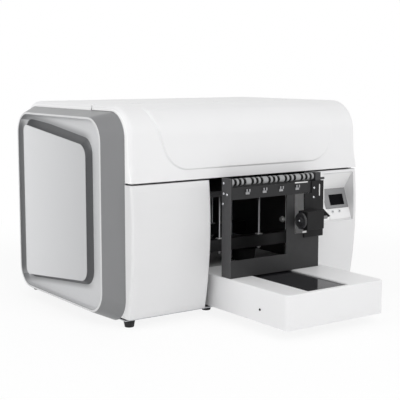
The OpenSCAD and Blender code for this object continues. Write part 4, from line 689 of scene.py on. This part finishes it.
cover_skin = rolled_shell(
    cover_path, cover_out, cover_seat, cover_half, cover_roll, cover_columns, raised_field)
in_slot = (np.abs(cover_skin[-1, :, 0, None] - knuckles) <= knuckle_slot).any(1)
cover_skin[:, in_slot, 1] = np.minimum(cover_skin[:, in_slot, 1], hinge_y - knuckle_clear)
shell_wall, shell_edge = 4, 0.7
mould("cover_shell", "cover", "white_shell", white_shell, cover_skin,
      nodes=["top_cover"], wall=shell_wall, edge=shell_edge)


def turned(profile, spot, axis, count=32):
    """Lathe work: rows of height along an axis and radius, carried round from a spot."""
    axis = np.asarray(axis, float)
    aside = np.cross(axis, [0.3, 0.5, 0.8])
    aside = aside / np.linalg.norm(aside)
    angle = np.linspace(0, 2 * pi, count + 1)
    ring = np.cos(angle)[:, None] * aside + np.sin(angle)[:, None] * np.cross(axis, aside)
    profile = np.asarray(profile, float)
    return np.asarray(spot) + profile[:, None, :1] * axis + profile[:, None, 1:] * ring


def tube(length, inner, outer, soft=0.4):
    """Profile of a plain tube with its outer edges broken."""
    return [(0, inner), (0, outer - soft), (soft, outer), (length - soft, outer),
            (length, outer - soft), (length, inner), (0, inner)]


knuckle_bore_r, knuckle_r = 2.75, 5.0
starts = np.concatenate([[-cover_half], knuckles + knuckle_slot])
ends = np.concatenate([knuckles - knuckle_slot, [cover_half]])
mould("cover_knuckles", "cover", "white_shell", white_shell, *[
    turned(tube(end - start, knuckle_bore_r, knuckle_r), (start, hinge_y, hinge_z), (1, 0, 0))
    for start, end in zip(starts, ends)])
steel = metal("bright_steel", (0.56, 0.57, 0.59), (0.68, 0.69, 0.71), 0.16, (1, 1, 0.05))
dress(steel, 0.4, "hinge_brackets", "hinge_pins")


# Rear top panel: the fixed white moulding behind the cover. It runs level to the rear, turns down
# in one bend, and its ends roll over onto the side frames as the cover's do.
rear_start, rear_n = 233.8, 40
rear_middle, rear_r = np.array([610.0, 558.0]), 110.0
rear_seat_middle, rear_seat_r, rear_seat_drop = np.array([621.0, 573.0]), 77.0, 15.0
rear_foot_roll, rear_roll_grows = 2.0, 45.0
rear_angle = np.linspace(pi / 2, pi, bend_n)


def rear_line(middle, r, drop):
    """A line level back to its bend and down round it, sinking by a drop that grows as a square."""
    level_y = np.linspace(rear_start, middle[0], rear_n, endpoint=False)
    sink = np.linspace(0, 1, bend_n)[:, None] ** 2 * np.array([0, -drop])
    return np.concatenate([np.stack([level_y, np.full(rear_n, middle[1] + r)], 1),
                           middle + r * directions(rear_angle) + sink])


rear_path = rear_line(rear_middle, rear_r, 0.0)
rear_seat = rear_line(rear_seat_middle, rear_seat_r, rear_seat_drop)
rear_out = directions(np.concatenate([np.full(rear_n, pi / 2), rear_angle]))
rear_height = rear_path[:, 1] - rear_middle[1]
rear_roll = rear_foot_roll + (roll_r - rear_foot_roll) * ease(0, rear_roll_grows, rear_height)
rear_columns = np.linspace(roll_r - body_side, body_side - roll_r, 61)[1:-1]
mould("rear_top_shell", "chassis", "white_shell", white_shell,
      rolled_shell(rear_path, rear_out, rear_seat, body_side, rear_roll, rear_columns),
      nodes=["rear_top_panel"], wall=shell_wall, edge=shell_edge)


# Front tray: a white moulding with a rolled top edge that stands out from the bay. Its long slot
# shows a dark gloss window let in from below.
tray_x, tray_y, tray_low, tray_top = (-145.0, 241.0), (-348.0, 120.0), 32.0, 136.0
tray_corner, tray_roll, tray_wall, edge_row = 16.0, 5.0, 4.0, 0.5
slot_x, slot_y, slot_corner, slot_soft = (-56, 106), (-334, -30), 2.0, 0.8


def tray(inset):
    """The tray's outline, drawn in by an inset."""
    return soft_polygon(rectangle(tray_x, tray_y), tray_corner, inset)


def slot(grow):
    """The slot's outline, widened by an amount."""
    return soft_polygon(rectangle(slot_x, slot_y), slot_corner, -grow)


def level(outline, z):
    """An outline drawn in X and Y, at a height."""
    return np.column_stack([outline, np.full(len(outline), z)])


under_top = tray_top - tray_wall
mould("tray_shell", "chassis", "white_shell", white_shell, np.concatenate([
    np.stack([level(tray(0), tray_low), level(tray(0), tray_low + edge_row)]),
    rounded(level(tray(0), tray_top - tray_roll), level(tray(0), tray_top),
            level(tray(tray_roll), tray_top), 7),
    np.stack([level(tray(tray_roll + edge_row), tray_top), level(slot(slot_soft + edge_row), tray_top)]),
    rounded(level(slot(slot_soft), tray_top), level(slot(0), tray_top),
            level(slot(0), tray_top - slot_soft), 4),
    np.stack([level(slot(0), under_top), level(tray(tray_wall), under_top),
              level(tray(tray_wall), tray_low), level(tray(0), tray_low)])]), nodes=["front_tray"])
gloss = Finish("slot_gloss", Specular_IOR_Level=0.2)
gloss.feed(Base_Color=gloss.tint(gloss.grain(900, 4), (0.010, 0.010, 0.012), (0.022, 0.022, 0.025)),
           Roughness=gloss.grain(30, 4) * 0.06 + 0.06)
dress(gloss, 0.3, "slot_window")


# Roll feeder: a stand folded from black sheet with two windows, a boxed cross bar on it, a motor
# bracket beside it and a moulded bearing block at each end of the bar. The stand's outer left side
# is painted lighter, as painted light.
painted_light_side_x = -140.5
feeder_coat = powder_coat("feeder_powder_coat", (0.016, 0.016, 0.017), (0.024, 0.024, 0.025))
# Painted light: the stand's outer left side is painted a lighter grey, for the light that falls on it.
feeder_coat.over(feeder_coat.axis("X").below(painted_light_side_x * mm), feeder_coat.tint(
    feeder_coat.grain(40, 4), (0.050, 0.050, 0.052), (0.068, 0.068, 0.071)))
dress(feeder_coat, 0.6, "feeder_frame")
bracket_coat = powder_coat("bracket_powder_coat", (0.012, 0.012, 0.012), (0.017, 0.017, 0.018), 0.15)
dress(bracket_coat, 0.6, "motor_bracket")
bar_coat = powder_coat("bar_powder_coat", (0.014, 0.014, 0.015), (0.021, 0.021, 0.022), 0.3)
dress(bar_coat, 0.6, "feeder_bar")
dress(black_plastic, 1.3, "bearing_blocks")


# Feed roller: a black core with sixteen grey rubber sleeves pushed onto it, and four bent spring
# leaves, fixed to the bar, that press the film at the wide sleeves.
core_black = satin_plastic("roller_core", (0.004, 0.004, 0.004), (0.008, 0.008, 0.008), 0.5, 0.12)
dress(core_black, 0.4, "feed_roller")
groove_pitch, groove_deep = 0.0012, 0.0001
sleeve_rubber = Finish("sleeve_rubber", Specular_IOR_Level=0.3)
sleeve_rubber.feed(
    Base_Color=sleeve_rubber.tint(sleeve_rubber.grain(220, 3), (0.31, 0.315, 0.32), (0.40, 0.405, 0.41)),
    Roughness=sleeve_rubber.grain(300) * 0.2 + 0.55)
sleeve_rubber.bump(sleeve_rubber.ripple("X", groove_pitch), groove_deep)
roller_y, roller_z, sleeve_r, core_r, sleeve_soft = -58.0, 432.0, 11.2, 9.55, 0.7
sleeve_n, wide_sleeves, wide, narrow = 16, [3, 6, 9, 12], 20.0, 8.2
sleeve_start, sleeve_run = -133.0, 330.0
widths = np.where(np.isin(np.arange(sleeve_n), wide_sleeves), wide, narrow)
sleeve_gap = (sleeve_run - widths.sum()) / (sleeve_n - 1)
sleeve_x = sleeve_start + np.concatenate([[0], np.cumsum(widths + sleeve_gap)[:-1]])
mould("sleeve_set", "roller", "sleeve_rubber", sleeve_rubber, *[
    turned(tube(width, core_r, sleeve_r, sleeve_soft), (x, roller_y, roller_z), (1, 0, 0))
    for x, width in zip(sleeve_x, widths)], nodes=["roller_sleeves"])

leaf_y, leaf_out, leaf_low, leaf_mid, leaf_high = -73.1, -77.2, 394.0, 402.0, 410.0
leaf_half, fork_half, leaf_shift, bend_in, bend_up = 7.5, 3.0, 0.5, 0.4, 1.0
leaf_path = np.array([
    (leaf_y, leaf_low), (leaf_y, leaf_mid - bend_up), (leaf_y - bend_in, leaf_mid),
    (leaf_out + bend_in, leaf_mid), (leaf_out, leaf_mid + bend_up), (leaf_out, leaf_high - bend_up),
    (leaf_out + bend_in, leaf_high)])


def leaf(path, x):
    """A sheet that follows a path in Y and Z, between two places along X."""
    return np.stack([across(path, place) for place in np.linspace(*x, 4)])


leaf_x = sleeve_x[wide_sleeves] + leaf_shift
prongs = ((-leaf_half, -fork_half), (fork_half, leaf_half))
leaves = [leaf(leaf_path[:2], (x - leaf_half, x + leaf_half)) for x in leaf_x]
leaves += [leaf(leaf_path[1:], (x + a, x + b)) for x in leaf_x for a, b in prongs]
spring = metal("spring_steel", (0.28, 0.28, 0.29), (0.42, 0.42, 0.43), 0.3, (1, 1, 0.1))
mould("pinch_leaves", "chassis", "steel", spring, *leaves, nodes=["pinch_clips"], wall=1.0, edge=0.25)


# Take-up: a small black motor on its bracket turns a moulded, flanged hub for the paper core, held
# by a bright screw. The release lever is a black moulding on a grey stub at the stand's right side.
motor_paint = powder_coat("motor_paint", (0.012, 0.012, 0.012), (0.018, 0.018, 0.019), 0.15)
dress(motor_paint, 1.6, "takeup_motor")
dress(core_black, 1.6, "release_lever")
stub_grey = satin_plastic("stub_grey", (0.21, 0.21, 0.213), (0.27, 0.27, 0.273))
stub_spot, stub_r, stub_out, stub_soft = (235.5, -66, 293.5), 5.4, 23.0, 1.0
mould("lever_stub", "lever", "black_plastic", stub_grey, turned(
    [(0, 0), (0, stub_r), (stub_out - stub_soft, stub_r), (stub_out, stub_r - stub_soft), (stub_out, 0)],
    stub_spot, (1, 0, 0)))
hub_gloss = satin_plastic("hub_plastic", (0.022, 0.022, 0.024), (0.034, 0.034, 0.036), 0.26)
takeup, hub_crown = np.array([122.0, -99.0, 298.0]), np.array([10.7, 0, 0])
hub_profile = [(-24, 0), (-24, 4), (0, 4), (0, 24.6), (0.9, 25.5), (6.4, 25.5), (7.4, 25), (8, 24),
               (8, 21), (6.8, 20), (6.8, 13), (8, 12), (8, 11), (11.4, 11), (12, 10.4), (12, 5),
               (10.8, 4.6), (10.8, 0)]
mould("core_hub", "takeup", "black_plastic", hub_gloss,
      turned(hub_profile, takeup, (-1, 0, 0), 64), nodes=["takeup_flange"])


def pan_head(spot, axis, r=3.8, high=2.4):
    """A low domed screw head with a socket in its crown."""
    return turned([(0, 0), (0, r), (0.4 * high, r), (0.75 * high, 0.88 * r), (high, 0.55 * r),
                   (high, 0.42 * r), (0.45 * high, 0.40 * r), (0.4 * high, 0)], spot, axis, 24)


mould("hub_screw", "takeup", "steel", steel, pan_head(takeup - hub_crown, (-1, 0, 0), 4.2, 2.2))


# Catch bowl: a black moulded bowl with a tapered wall and a flat rim. It stands loose on the bay's
# deck below the front beam.
bowl_spot = (90, 170, deck_z)
bowl_profile = [(0, 0), (0, 36), (1, 39), (6, 42), (37, 46), (39, 46), (39, 43), (8, 38), (6, 0)]
mould("catch_bowl", "chassis", "black_plastic", core_black,
      turned(bowl_profile, bowl_spot, (0, 0, 1), 48))


# Screws: bright steel pan heads that hold the stand and the bracket, black ones on the tray, and a
# plated hex bolt with its washer on the bay's right wall.
plate_screws = [(-142, -37.1, 429), (-142, -37.1, 397), (-142, -54.1, 395), (-142, -33, 365)]
bracket_screws = [(189, -77, 366), (190.7, -77, 396)]
heads = [pan_head(spot, (-1, 0, 0), 4.4) for spot in plate_screws]
heads += [pan_head(spot, (0, -1, 0)) for spot in bracket_screws]
mould("screw_heads", "chassis", "steel", steel, *heads, nodes=["screws"])
black_oxide = metal("black_oxide", (0.012, 0.012, 0.013), (0.022, 0.022, 0.023), 0.5, (1, 1, 1))
tray_screw_y, tray_screw_z, tray_head = -222.7, 71.5, 2.0
mould("tray_screws", "chassis", "steel", black_oxide, *[
    pan_head((x, tray_screw_y, tray_screw_z), (way, 0, 0), high=tray_head)
    for x, way in zip(tray_x, (-1, 1))])
bolt, washer = (247.9, 146, 261), (1.4, 11)
bolt_high, bolt_r, bolt_soft, bolt_top_r = 9.0, 9.1, 1.0, 8.2
mould("wall_bolt", "chassis", "steel", nickel,
      turned([(0, 0), (0, washer[1]), washer, (washer[0], 0)], bolt, (-1, 0, 0)),
      turned([(washer[0], 0), (washer[0], bolt_r), (bolt_high - bolt_soft, bolt_r),
              (bolt_high, bolt_top_r), (bolt_high, 0)], bolt, (-1, 0, 0), 6))


# Bright fittings: a strip on the bracket's arm, a tab at its lower corner and a guide strip along the
# cross bar, all cut from nickel plated sheet and fixed flat.
strip_thick, strip_corner, bracket_face, bar_face = 1.2, 1.2, -77.05, -73.05


def upright(outline, y):
    """An outline drawn in X and Z, at a place along Y."""
    return np.column_stack([outline[:, 0], np.full(len(outline), y), outline[:, 1]])


def strip(x, z, y):
    """A thin plate between two limits along X and along Z, whose back lies at a place along Y."""
    outline = soft_polygon(rectangle(x, z), strip_corner, steps=4, runs=1)
    return sheet(outline, upright, y, y - strip_thick)


mould("bright_fittings", "chassis", "steel", nickel, strip((211.5, 215.2), (369, 407), bracket_face),
      strip((143, 160), (253, 259), bracket_face), strip((112, 166), (415.2, 418.6), bar_face))
